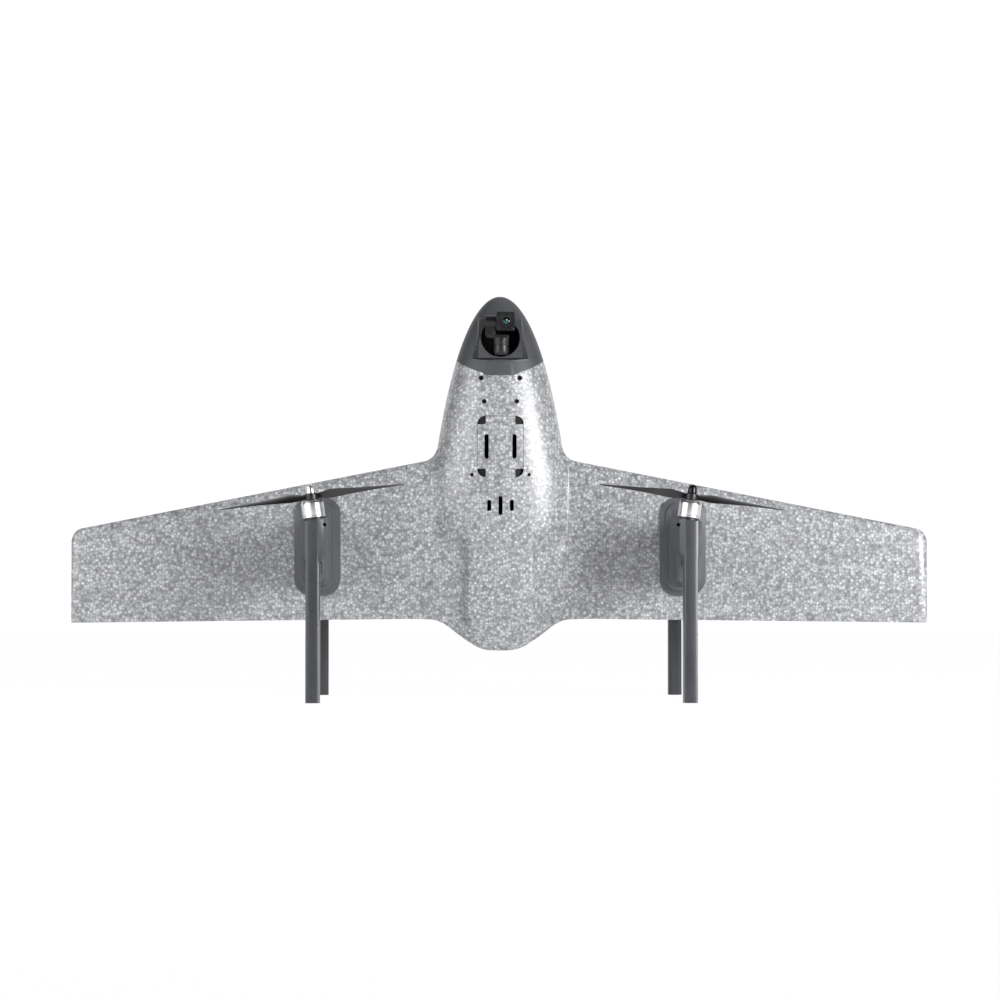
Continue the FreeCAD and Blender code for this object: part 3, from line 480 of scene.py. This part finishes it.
carve(foam, seam_cutter())
carve(foam, slot_cutter("hatch_seat", 0, hatch_z, hatch_w, hatch_h, (outside_y, seat_y), hatch_corner))
bay = (bay_half_width, bay_half_height, (bay_mouth_y, bay_floor_y), bay_corner)
carve(foam, slot_cutter("battery_bay", 0, hatch_z, *bay))
for place, half in vents:
    carve(foam, slot_cutter("vent", place, vent_z, vent_half_width, half, (outside_y, vent_floor_y)))
for place, z, radius in screw_holes:
    for side in (-1, 1):
        hole = (radius, radius, (outside_y, screw_floor_y))
        carve(foam, slot_cutter("screw_hole", side * place, z, *hole))
foam.data.set_sharp_from_angle(angle=edge_angle)


def paint_shade_on_walls(thing, inside):
    """Painted shade on the walls of openings: the second, black finish on faces that look sideways, or sit
    deep, where inside is true.
    """
    count = len(thing.data.polygons)
    centre, normal = np.empty(count * 3), np.empty(count * 3)
    thing.data.polygons.foreach_get("center", centre)
    thing.data.polygons.foreach_get("normal", normal)
    x, y, z = centre.reshape(-1, 3).T / mm
    wall = (np.abs(normal.reshape(-1, 3)[:, 1]) < 0.25) | (y > -33.5)
    thing.data.polygons.foreach_set("material_index", (inside(x, y, z) & wall & (y < 0)).astype(np.int32))


def opening(x, y, z):
    """True near a vent slot, a screw hole or the hatch seat."""
    side = np.abs(x)
    inside = (side < 17.0) & (np.abs(z - vent_z) < 12.2)
    inside |= (side < hatch_w + 0.1) & (np.abs(z - hatch_z) < hatch_h + 0.1)
    for place, height, radius in screw_holes:
        inside |= np.hypot(side - place, z - height) < radius + 0.2
    return inside


def bead_foam(name):
    """Fused foam beads, each bead its own grey, with a painted highlight on the rounded bead middles and
    painted shade in the skins between them.
    """
    material = bpy.data.materials.new(name)
    material.use_nodes = True
    tree = material.node_tree
    shader = tree.nodes["Principled BSDF"]
    place = tree.nodes.new("ShaderNodeTexCoord")
    link = tree.links.new

    wander = tree.nodes.new("ShaderNodeTexNoise")
    wander.inputs["Scale"].default_value = 160.0
    wander.inputs["Detail"].default_value = 2.0
    link(place.outputs["Object"], wander.inputs["Vector"])
    shift = tree.nodes.new("ShaderNodeMix")
    shift.data_type = "VECTOR"
    shift.inputs["Factor"].default_value = 0.0025
    link(place.outputs["Object"], shift.inputs["A"])
    link(wander.outputs["Color"], shift.inputs["B"])

    beads = tree.nodes.new("ShaderNodeTexVoronoi")
    beads.feature = "F1"
    beads.inputs["Scale"].default_value = 275.0
    beads.inputs["Randomness"].default_value = 0.85
    link(shift.outputs["Result"], beads.inputs["Vector"])
    skins = tree.nodes.new("ShaderNodeTexVoronoi")
    skins.feature = "DISTANCE_TO_EDGE"
    skins.inputs["Scale"].default_value = 275.0
    skins.inputs["Randomness"].default_value = 0.85
    link(shift.outputs["Result"], skins.inputs["Vector"])

    # Painted highlight and shade: each bead is pale at its middle and darker towards the skins between beads,
    # times its own grey.
    tone = tree.nodes.new("ShaderNodeValToRGB")
    ramp = tone.color_ramp
    ramp.elements[0].position = 0.0
    ramp.elements[0].color = (0.70, 0.71, 0.735, 1)
    ramp.elements[1].position = 0.85
    ramp.elements[1].color = (0.18, 0.186, 0.197, 1)
    glint = ramp.elements.new(0.15)
    glint.color = (0.53, 0.54, 0.56, 1)
    middle = ramp.elements.new(0.34)
    middle.color = (0.375, 0.382, 0.40, 1)
    rim = ramp.elements.new(0.58)
    rim.color = (0.28, 0.286, 0.302, 1)
    link(beads.outputs["Distance"], tone.inputs["Fac"])

    lot = tree.nodes.new("ShaderNodeSeparateColor")
    link(beads.outputs["Color"], lot.inputs["Color"])
    spread = tree.nodes.new("ShaderNodeMapRange")
    spread.inputs["To Min"].default_value = 0.60
    spread.inputs["To Max"].default_value = 1.44
    link(lot.outputs["Red"], spread.inputs["Value"])
    cloud = tree.nodes.new("ShaderNodeTexNoise")
    cloud.inputs["Scale"].default_value = 9.0
    cloud.inputs["Detail"].default_value = 3.0
    link(place.outputs["Object"], cloud.inputs["Vector"])
    drift = tree.nodes.new("ShaderNodeMapRange")
    drift.inputs["To Min"].default_value = 0.93
    drift.inputs["To Max"].default_value = 1.07
    link(cloud.outputs["Fac"], drift.inputs["Value"])
    both = tree.nodes.new("ShaderNodeMath")
    both.operation = "MULTIPLY"
    link(spread.outputs["Result"], both.inputs[0])
    link(drift.outputs["Result"], both.inputs[1])
    paint = tree.nodes.new("ShaderNodeVectorMath")
    paint.operation = "SCALE"
    link(tone.outputs["Color"], paint.inputs[0])
    link(both.outputs[0], paint.inputs["Scale"])
    link(paint.outputs[0], shader.inputs["Base Color"])

    dome = tree.nodes.new("ShaderNodeMapRange")
    dome.inputs["From Max"].default_value = 0.35
    dome.interpolation_type = "SMOOTHSTEP"
    link(skins.outputs["Distance"], dome.inputs["Value"])
    bump = tree.nodes.new("ShaderNodeBump")
    bump.inputs["Strength"].default_value = 0.35
    bump.inputs["Distance"].default_value = 0.0004
    link(dome.outputs["Result"], bump.inputs["Height"])
    link(bump.outputs["Normal"], shader.inputs["Normal"])
    shader.inputs["Roughness"].default_value = 0.5
    shader.inputs["Specular IOR Level"].default_value = 0.4
    shader.inputs["Coat Weight"].default_value = 1.0
    shader.inputs["Coat IOR"].default_value = 1.75
    shader.inputs["Coat Roughness"].default_value = 0.38
    return material


def liner_black_and_painted_shade(name):
    """Matt black that hardly shines, a lining for the gimbal bay and painted shade on the walls of the foam's
    openings: flat black with a faint mottle.
    """
    material = bpy.data.materials.new(name)
    material.use_nodes = True
    tree = material.node_tree
    shader = tree.nodes["Principled BSDF"]
    place = tree.nodes.new("ShaderNodeTexCoord")
    mottle = tree.nodes.new("ShaderNodeTexNoise")
    mottle.inputs["Scale"].default_value = 300.0
    tint = tree.nodes.new("ShaderNodeValToRGB")
    tint.color_ramp.elements[0].color = (0.0012, 0.0012, 0.0013, 1)
    tint.color_ramp.elements[1].color = (0.004, 0.004, 0.0042, 1)
    tree.links.new(place.outputs["Object"], mottle.inputs["Vector"])
    tree.links.new(mottle.outputs["Fac"], tint.inputs["Fac"])
    tree.links.new(tint.outputs["Color"], shader.inputs["Base Color"])
    shader.inputs["Roughness"].default_value = 0.9
    shader.inputs["Specular IOR Level"].default_value = 0.08
    return material


def foam_finish(thing, inside):
    """Bead foam all over, with painted shade in black on the walls of the openings."""
    thing.data.materials.clear()
    thing.data.materials.append(foam_material)
    thing.data.materials.append(shade_black)
    paint_shade_on_walls(thing, inside)


foam_material = bead_foam("bead_foam")
# Black for the bay liner, and painted shade on the walls of the foam's openings.
shade_black = liner_black_and_painted_shade("liner_black_and_painted_shade")
# Painted shade: the walls of the vents, screw holes and hatch seat take the black finish.
foam_finish(foam, opening)
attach(foam, "airframe")
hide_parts("fuselage_foam", "left_wing", "right_wing")

# Belly hatch
# A loose foam lid that carries on the body's curve. Each corner is notched square inside its round
# corner for a latch, and two finger slots run through it. It is pressed into its seat by hand.
gap = 0.45
lid_low_y, through_y = -35.0, -30
slot_x, slot_half_width, slot_half_height = 17.5, 2.65, 15.5
notch, notch_half, notch_corner = 10.7, 20, 2.5
lid = (hatch_w - gap, hatch_h - gap, (outside_y, lid_low_y), hatch_corner - gap)
finger = (slot_half_width, slot_half_height, (outside_y, through_y))
square = (notch_half, notch_half, (outside_y, through_y), notch_corner)
carve(hatch, slot_cutter("lid", 0, hatch_z, *lid), "INTERSECT")
for side in (-1, 1):
    carve(hatch, slot_cutter("finger_slot", side * slot_x, hatch_z, *finger))
    for end in (-1, 1):
        centre_x = side * (hatch_w - notch + notch_half)
        centre_z = hatch_z + end * (hatch_h - notch + notch_half)
        carve(hatch, slot_cutter("corner_notch", centre_x, centre_z, *square))
hatch.data.set_sharp_from_angle(angle=edge_angle)
# Painted shade: the walls of the finger slots take the black finish.
foam_finish(hatch, lambda x, y, z: (np.abs(np.abs(x) - slot_x) < 2.8) & (np.abs(z - hatch_z) < 15.7))
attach(hatch, "hatch")
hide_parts("belly_hatch")

# Nose cover
# One slate grey satin moulding over the tip of the body, with a fine spark-eroded grain. A raised frame
# stands round the gimbal bay, with painted shade on its side cheeks and sill. Screws in the belly hold it.


def moulded_plastic(name, colour, roughness, grain=0.00006, scale=1800.0):
    """Coloured plastic with a fine grain in its bump and broad soft patches in its gloss."""
    material = bpy.data.materials.new(name)
    material.use_nodes = True
    tree = material.node_tree
    shader = tree.nodes["Principled BSDF"]
    link = tree.links.new
    place = tree.nodes.new("ShaderNodeTexCoord")
    patches = tree.nodes.new("ShaderNodeTexNoise")
    patches.inputs["Scale"].default_value = 24.0
    patches.inputs["Detail"].default_value = 4.0
    link(place.outputs["Object"], patches.inputs["Vector"])
    gloss = tree.nodes.new("ShaderNodeMapRange")
    gloss.inputs["To Min"].default_value = roughness - 0.05
    gloss.inputs["To Max"].default_value = roughness + 0.06
    link(patches.outputs["Fac"], gloss.inputs["Value"])
    link(gloss.outputs["Result"], shader.inputs["Roughness"])
    tint = tree.nodes.new("ShaderNodeValToRGB")
    tint.color_ramp.elements[0].position = 0.3
    tint.color_ramp.elements[0].color = [c * 0.9 for c in colour] + [1]
    tint.color_ramp.elements[1].position = 0.7
    tint.color_ramp.elements[1].color = [c * 1.08 for c in colour] + [1]
    link(patches.outputs["Fac"], tint.inputs["Fac"])
    link(tint.outputs["Color"], shader.inputs["Base Color"])
    speck = tree.nodes.new("ShaderNodeTexNoise")
    speck.inputs["Scale"].default_value = scale
    speck.inputs["Detail"].default_value = 2.0
    link(place.outputs["Object"], speck.inputs["Vector"])
    bump = tree.nodes.new("ShaderNodeBump")
    bump.inputs["Strength"].default_value = 0.5
    bump.inputs["Distance"].default_value = grain
    link(speck.outputs["Fac"], bump.inputs["Height"])
    link(bump.outputs["Normal"], shader.inputs["Normal"])
    return material


def softened(thing, width, sharp=30):
    """Rounded edges, kept live so that flat faces stay flat."""
    rounding = thing.modifiers.new("edge_rounding", "BEVEL")
    rounding.width = width
    rounding.segments = 2
    rounding.limit_method = "ANGLE"
    rounding.angle_limit = math.radians(sharp)
    rounding.harden_normals = False
    rounding.use_clamp_overlap = True


def finished(thing, material, distance, sharp):
    """Merged points, smooth shading up to an edge angle, and one finish all over."""
    clean(thing, distance, sharp)
    thing.data.materials.clear()
    thing.data.materials.append(material)


def dressed(node, name, material, bevel, sharp=32):
    """A smooth-shaded copy of a CAD node with softened edges, in its own finish."""
    thing = bpy.data.objects.new(name, nodes[node].data.copy())
    scene.collection.objects.link(thing)
    finished(thing, material, merge, sharp)
    if bevel:
        softened(thing, bevel, sharp)
    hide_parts(node)
    return thing


merge = 0.00001
cover_plastic = moulded_plastic("cover_plastic", (0.068, 0.071, 0.079), 0.46)
nose = dressed("nose_cover", "nose_cover_moulding", cover_plastic, 0.0005)
nose.data.materials.append(moulded_plastic("cover_painted_shade", (0.014, 0.015, 0.017), 0.6))
# Painted shade: the frame's side cheeks and its sill take a darker copy of the plastic.
count = len(nose.data.polygons)
spot, facing = np.empty(count * 3), np.empty(count * 3)
nose.data.polygons.foreach_get("center", spot)
nose.data.polygons.foreach_get("normal", facing)
spot, facing = spot.reshape(-1, 3) / mm, facing.reshape(-1, 3)
frame_inner_x, frame_outer_x, frame_low_z, frame_high_z, frame_y = 23.0, 37.0, 420, 478, -30
sill_half_width, sill_high_z = 36.0, 436
off_centre, up = np.abs(spot[:, 0]), spot[:, 2]
cheek = (off_centre > frame_inner_x) & (off_centre < frame_outer_x) & (np.abs(facing[:, 0]) > 0.7)
sill = (off_centre < sill_half_width) & (up < sill_high_z) & (facing[:, 2] < -0.35)
belly_side = (up > frame_low_z) & (up < frame_high_z) & (spot[:, 1] < frame_y)
nose.data.polygons.foreach_set("material_index", ((cheek | sill) & belly_side).astype(np.int32))
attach(nose, "airframe")

# Gimbal bay liner
# A moulded wall of matt black plastic that stands behind the opening of the nose cover and closes
# the bay round the gimbal.
liner = dressed("gimbal_bay_liner", "gimbal_bay_wall", shade_black, 0.0)
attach(liner, "airframe")

# Rotor pods and legs
# A slate grey moulding at each corner has a plate on the wing, a flared pylon and a faceted nacelle with
# the leg plugged in from below. Nacelle and leg are one shell here, over the end of the pylon.
# Painted light: the wing plate takes a lighter copy of the pods' grey plastic.
plate_plastic_painted_light = moulded_plastic("plate_plastic_painted_light", (0.090, 0.094, 0.104), 0.36)
pod_plastic = moulded_plastic("pod_plastic", (0.050, 0.053, 0.060), 0.29)
pod_x, pod_y, cant = 231.0, 135.0, math.radians(8.0)
pylon_end = 0.1232
leg_top_z, nacelle_low_z = 171.0, 184.0
seat_x, seat_z = 229.18, 224.03
hole_x, hole_z, hole_radius = pod_x - 14.2, 218.0, 2.2
pods = {
    side + "_" + face: np.array([across, over, 1.0])
    for side, across in (("left", 1.0), ("right", -1.0))
    for face, over in (("belly", 1.0), ("top", -1.0))
}


def lofted(name, rings):
    """Closed skin over rings of points with a fan of faces at both ends."""
    rows, columns = rings.shape[:2]
    faces = grid_faces(rows, columns, wrap=True)
    last = (rows - 1) * columns
    faces += [list(range(columns))[::-1], [last + i for i in range(columns)]]
    thing = mesh_object(name, rings.reshape(-1, 3) * mm, faces, smooth=False)
    return clean(thing)


def pod_ring(front, chamfer, outboard, inboard, back, flare):
    """Ten-cornered section of leg or nacelle, round the middle of the pod.

    A flat front 13 mm out, a shallow chamfer at each side of it (24 degrees, slope 0.446), side walls
    that flare inboard towards the back, and a narrow back.
    """
    face_y = -13.0
    outer_y = face_y + chamfer * 0.446
    inner_x = front + 2.0
    return np.array(
        [
            (-front, face_y),
            (front, face_y),
            (front + chamfer, outer_y),
            (outboard, outer_y + (outboard - front - chamfer) * 1.3 + 2.0),
            (outboard, back - 4.0),
            (4.5, back),
            (-4.5, back),
            (-inboard - flare, back - 4.0),
            (-inboard, -7.9),
            (-inner_x, -12.0 + (inboard - inner_x) * 0.12),
        ]
    )


def pod_shell(name):
    """Leg and nacelle as one straight-sided loft from the ground to the motor seat, slanted by the cant."""
    leg = pod_ring(5.65, 3.05, 8.7, 8.7, 9.0, 0.0)
    nacelle = pod_ring(5.65, 3.9, 14.5, 13.2, 12.0, 4.8)
    rings = []
    for section, z in ((leg, 0.0), (leg, leg_top_z), (nacelle, nacelle_low_z), (nacelle, None)):
        x, y = pod_x + section[:, 0], -pod_y + section[:, 1]
        height = seat_z - (x - seat_x) * math.tan(cant) if z is None else np.full(len(x), z)
        rings.append(np.stack([x, y, height], -1))
    return lofted(name, np.array(rings))


def pod_hole():
    """Round cutter through the front of a nacelle."""
    angle = np.linspace(0, 2 * np.pi, 24, endpoint=False)
    ring = [hole_x + hole_radius * np.cos(angle), 0 * angle, hole_z + hole_radius * np.sin(angle)]
    hole = np.stack(ring, -1)
    return lofted("pod_hole", np.array([hole + [0, -pod_y - 16.0, 0], hole + [0, -pod_y + 1.0, 0]]))


for pod, flip in pods.items():
    mount = dressed(pod + "_pod_mount", pod + "_wing_plate", plate_plastic_painted_light, 0.0006)
    work = bmesh.new()
    work.from_mesh(mount.data)
    beyond = [f for f in work.faces if abs(f.calc_center_median().y) > pylon_end]
    bmesh.ops.delete(work, geom=beyond, context="FACES")
    work.to_mesh(mount.data)
    work.free()
    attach(mount, "airframe")
    shell = carve(pod_shell(pod + "_pod_shell"), pod_hole())
    shell.data.transform(Matrix.Diagonal((*flip, 1.0)))
    finished(shell, pod_plastic, merge, 32)
    softened(shell, 0.00035)
    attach(shell, "airframe")
    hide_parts(pod + "_leg")

# Motors
# An outrunner on each seat, canted outboard: a dark base and stator screwed to the nacelle, and a can
# of bright turned aluminium that spins round it on the shaft.


def turned_metal(name, colour, roughness):
    """Bright lathe-turned metal with fine rings in its gloss."""
    material = bpy.data.materials.new(name)
    material.use_nodes = True
    tree = material.node_tree
    shader = tree.nodes["Principled BSDF"]
    shader.inputs["Metallic"].default_value = 1.0
    link = tree.links.new
    place = tree.nodes.new("ShaderNodeTexCoord")
    rings = tree.nodes.new("ShaderNodeTexWave")
    rings.bands_direction = "Z"
    rings.inputs["Scale"].default_value = 1400.0
    rings.inputs["Distortion"].default_value = 3.0
    rings.inputs["Detail"].default_value = 2.0
    link(place.outputs["Object"], rings.inputs["Vector"])
    gloss = tree.nodes.new("ShaderNodeMapRange")
    gloss.inputs["To Min"].default_value = roughness
    gloss.inputs["To Max"].default_value = roughness + 0.12
    link(rings.outputs["Fac"], gloss.inputs["Value"])
    link(gloss.outputs["Result"], shader.inputs["Roughness"])
    tint = tree.nodes.new("ShaderNodeValToRGB")
    tint.color_ramp.elements[0].color = [c * 0.9 for c in colour] + [1]
    tint.color_ramp.elements[1].color = list(colour) + [1]
    link(rings.outputs["Fac"], tint.inputs["Fac"])
    link(tint.outputs["Color"], shader.inputs["Base Color"])
    return material


bright_metal = turned_metal("bright_metal", (0.82, 0.825, 0.83), 0.22)
dark_metal = turned_metal("dark_metal", (0.06, 0.06, 0.065), 0.35)
motor_point = np.array([229.6, -pod_y, 227.0])
rotor_axis = np.array([math.sin(cant), 0.0, math.cos(cant)])
rotor_side = np.array([math.cos(cant), 0.0, -math.sin(cant)])
rotor_over = np.array([0.0, 1.0, 0.0])


def rotor_line(flip):
    """Start point, axis and two side directions of the motor at one corner."""
    return motor_point * flip, rotor_axis * flip, rotor_side * flip, rotor_over * flip


def turned(name, profile, along, segments=96):
    """A profile of distances and radii, carried round an axis given by a start point and three directions."""
    start, axis, across, over = along
    distance, radius = np.array(profile).T
    angle = np.linspace(0, 2 * np.pi, segments, endpoint=False)
    spin = np.cos(angle)[:, None] * across + np.sin(angle)[:, None] * over
    rings = start + distance[:, None, None] * axis + radius[:, None, None] * spin[None]
    return lofted(name, rings)


def rounded(points, radius, steps=4):
    """The same open line of points with every inner corner turned in a small arc of straight steps."""
    points = np.array(points, float)
    line = [points[0]]
    for before, corner, after in zip(points[:-2], points[1:-1], points[2:]):
        reach = min(radius, np.linalg.norm(before - corner) / 2, np.linalg.norm(after - corner) / 2)
        start = corner + (before - corner) / np.linalg.norm(before - corner) * reach
        stop = corner + (after - corner) / np.linalg.norm(after - corner) * reach
        for t in np.linspace(0, 1, steps + 1):
            line.append((1 - t) ** 2 * start + 2 * t * (1 - t) * corner + t**2 * stop)
    line.append(points[-1])
    return line


bell_profile = rounded(
    [(1.0, 2.4), (1.0, 12.5), (0.0, 12.5), (0.0, 14.0), (2.3, 14.0), (2.5, 13.5), (2.9, 13.5), (3.1, 14.0)]
    + [(17.2, 14.0), (20.4, 12.6), (21.5, 10.4), (21.5, 2.2)],
    0.5,
)
for pod, flip in pods.items():
    base = dressed(pod + "_motor_base", pod + "_stator", dark_metal, 0.0002)
    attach(base, "airframe")
    bell = turned(pod + "_bell", bell_profile, rotor_line(flip))
    finished(bell, bright_metal, merge, 40)
    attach(bell, pod + "_rotor")
    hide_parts(pod + "_motor_bell")

# Propellers
# Nine-inch two-bladed propellers in black glass-filled nylon, each moulded in one with its hub and
# clamped on the motor's stud.
prop_black = moulded_plastic("prop_black", (0.005, 0.0052, 0.0056), 0.34, 0.00002, 3000.0)
blade_reach, hub_rise = 114.0, 25.5
pitch_radius, advance, steepest = 114.3, 126.0, math.radians(35.0)
hub_profile = rounded([(21.6, 2.7), (21.6, 8.2), (29.2, 8.2), (29.4, 7.2), (29.4, 2.7)], 0.8)


def blade_rings(sign):
    """Sections of one blade, as rings at growing shares of its reach.

    Each is a flattened oval of the chord and the thickness there, cambered by 0.07 of the chord times the
    square of the sine, swept by a smooth curve, and turned by the angle whose tangent is the advance of
    one turn over the length of the circle at that share, at most 35 degrees.
    """
    root, middle = np.linspace(0.05, 0.2, 7), np.linspace(0.2, 0.9, 22)[1:]
    share = np.concatenate([root, middle, 1 - 0.1 * (1 - np.linspace(0, 1, 14)[1:]) ** 2])
    chord = blend_curve(
        share,
        [0.05, 0.12, 0.22, 0.36, 0.5, 0.7, 0.88, 0.96, 1.0],
        [9, 13.5, 18, 18.5, 17, 13.5, 9.5, 6.0, 1.2],
    )
    thick = 3.4 - 2.6 * share**0.7
    sweep = blend_curve(share, [0.05, 0.3, 0.6, 1.0], [0.0, 1.6, 1.0, -3.2])
    pitch = np.minimum(steepest, np.arctan2(advance, 2 * np.pi * pitch_radius * share))
    angle = np.linspace(0, 2 * np.pi, 30, endpoint=False)
    along = chord[:, None] / 2 * np.cos(angle) + sweep[:, None]
    rise = thick[:, None] / 2 * np.sin(angle) * (0.35 + 0.65 * np.abs(np.sin(angle)))
    rise = rise + 0.07 * chord[:, None] * np.sin(angle) ** 2
    radius = np.repeat((share * blade_reach)[:, None], len(angle), 1)
    y = along * np.cos(pitch)[:, None] - rise * np.sin(pitch)[:, None]
    z = along * np.sin(pitch)[:, None] + rise * np.cos(pitch)[:, None]
    return np.stack([sign * radius, sign * y, z], -1)


for pod, flip in pods.items():
    centre = motor_point + rotor_axis * hub_rise
    blades = turned(pod + "_blades", hub_profile, rotor_line(flip))
    for sign in (1, -1):
        out_x, out_y, out_z = np.moveaxis(blade_rings(sign)[..., None], 2, 0)
        blade = centre + (out_x * rotor_side + out_y * rotor_over + out_z * rotor_axis)
        carve(blades, lofted("blade", blade * flip), "UNION")
    finished(blades, prop_black, merge, 45)
    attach(blades, pod + "_rotor")
    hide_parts(pod + "_propeller")

# Propeller nuts
# Domed aluminium nuts that screw down on the motor's stud and hold the propeller. Two are bright and
# two are blackened, which tells the two directions of turning apart.
black_metal = turned_metal("black_metal", (0.035, 0.035, 0.038), 0.22)
nut_profile = rounded(
    [(29.5, 2.8), (29.5, 6.0), (30.6, 6.0), (31.0, 5.8), (35.4, 5.6), (39.0, 4.6), (40.8, 2.2), (41.0, 0.02)],
    1.2,
)
for pod, flip in pods.items():
    silver = pod in ("right_belly", "left_top")
    nut = turned(pod + "_dome_nut", nut_profile, rotor_line(flip), 64)
    finished(nut, bright_metal if silver else black_metal, merge, 40)
    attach(nut, pod + "_rotor")
    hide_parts(pod + "_prop_nut")

# Gimbal camera
# A matt black arm turns on the roll motor of its bracket and carries the camera housing, which tilts in
# it. A gloss black ring is turned for the lens, and a dark glass with painted reflections is set in the ring.
gimbal_black = moulded_plastic("gimbal_black", (0.0045, 0.0047, 0.0053), 0.36, 0.00003, 2600.0)
black_plastic = moulded_plastic("black_plastic", (0.006, 0.006, 0.0065), 0.5)


def glass_with_painted_reflections(name, centre, radius):
    """Dark glass over the lens with painted reflections: a pale green glint above a wider teal patch, each a
    soft disc.
    """
    material = bpy.data.materials.new(name)
    material.use_nodes = True
    tree = material.node_tree
    shader = tree.nodes["Principled BSDF"]
    place = tree.nodes.new("ShaderNodeTexCoord")
    total = None
    # Painted reflections: each spot is a soft disc of colour in the glass's base colour.
    for across, up, size, colour in (
        (0.10, 0.30, 0.30, (0.42, 0.80, 0.72)),
        (-0.08, -0.34, 0.62, (0.008, 0.13, 0.15)),
    ):
        shift = tree.nodes.new("ShaderNodeVectorMath")
        shift.operation = "DISTANCE"
        shift.inputs[1].default_value = centre + radius * np.array([across, 0.0, up])
        tree.links.new(place.outputs["Object"], shift.inputs[0])
        disc = tree.nodes.new("ShaderNodeValToRGB")
        disc.color_ramp.interpolation = "EASE"
        disc.color_ramp.elements[0].color = list(colour) + [1]
        disc.color_ramp.elements[1].color = (0.0006, 0.0009, 0.001, 1)
        scaled = tree.nodes.new("ShaderNodeMath")
        scaled.operation = "DIVIDE"
        scaled.inputs[1].default_value = radius * size
        tree.links.new(shift.outputs["Value"], scaled.inputs[0])
        tree.links.new(scaled.outputs[0], disc.inputs["Fac"])
        if total is None:
            total = disc.outputs["Color"]
        else:
            adding = tree.nodes.new("ShaderNodeVectorMath")
            adding.operation = "ADD"
            tree.links.new(total, adding.inputs[0])
            tree.links.new(disc.outputs["Color"], adding.inputs[1])
            total = adding.outputs[0]
    tree.links.new(total, shader.inputs["Base Color"])
    shader.inputs["Roughness"].default_value = 0.08
    return material


glass_low, glass_high = (np.array(corner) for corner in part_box("lens_glass"))
glass_middle = (glass_low + glass_high) / 2
glass_middle[1] = glass_low[1]
lens_painted_reflections = glass_with_painted_reflections("lens_painted_reflections", glass_middle, (glass_high[0] - glass_low[0]) / 2)
for node, name, material, body, slot in (
    ("gimbal_base", "roll_motor_base", gimbal_black, "airframe", "gimbal_black"),
    ("gimbal_arm", "gimbal_arm_housing", gimbal_black, "gimbal_arm", "gimbal_black"),
    ("camera_body", "camera_housing", gimbal_black, "camera", "gimbal_black"),
    ("lens_barrel", "lens_ring_turned", black_plastic, "camera", "lens_ring"),
    ("lens_glass", "lens_front", lens_painted_reflections, "camera", "lens_glass"),
):
    piece = dressed(node, name, material, 0.0004)
    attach(piece, body)

# Spars
# Two carbon fibre tubes that run through the body into both wings and carry the bending. They are
# pushed into bores in the foam and show only where the foam is open.


def plain_finish(node, name, colour, roughness):
    """The frame's own mesh of an inner piece, in a plain moulded finish."""
    data = nodes[node].data
    data.materials.clear()
    data.materials.append(moulded_plastic(name, colour, roughness))


carbon = (0.012, 0.012, 0.013)
plain_finish("main_spar", "spar_weave", carbon, 0.3)
plain_finish("rear_spar", "rear_spar_weave", carbon, 0.3)

# Wing harnesses
# One bundle of motor cables in a black braided sleeve to each side, laid in a channel in the foam.
# It lies still and moves with the airframe.
plain_finish("left_wing_harness", "left_sleeve", carbon, 0.7)
plain_finish("right_wing_harness", "right_sleeve", carbon, 0.7)

# Battery
# A four-cell pack in dark heat-shrink wrap, laid in the bay under the hatch. It shows when the hatch
# is lifted off.
plain_finish("battery", "battery_wrap", (0.02, 0.022, 0.026), 0.3)

# Circuit boards
# Flight controller and speed controller, populated fibreglass boards stacked on turned brass
# stand-offs and screwed down inside the body.
plain_finish("flight_controller", "board_green", (0.01, 0.05, 0.02), 0.4)
plain_finish("speed_controller", "board_blue", (0.01, 0.02, 0.06), 0.4)
plain_finish("board_standoffs", "brass_post", (0.5, 0.36, 0.12), 0.3)

# Receivers
# The radio receiver in a small black case, and the satellite receiver in a pale ceramic one that lies
# just under the back skin. Each sits in a pocket of its own in the foam.
plain_finish("radio_receiver", "receiver_case", (0.02, 0.02, 0.02), 0.4)
plain_finish("gps_receiver", "ceramic_case", (0.3, 0.29, 0.26), 0.5)

# Screws
# Blackened steel screws, six down their holes in the belly and one in the front of each nacelle.
# They hold the nose cover, the electronics tray and the nacelles.
plain_finish("belly_screws", "black_steel", (0.0015, 0.0015, 0.0015), 0.8)
plain_finish("pod_screws", "black_steel_pod", (0.002, 0.002, 0.002), 0.7)

# Hatch latches
# Four matt black plastic pads sunk into the square notches at the corners of the hatch. They are glued
# to it and come off with it.
plain_finish("hatch_latches", "latch_black", (0.002, 0.002, 0.0022), 0.7)
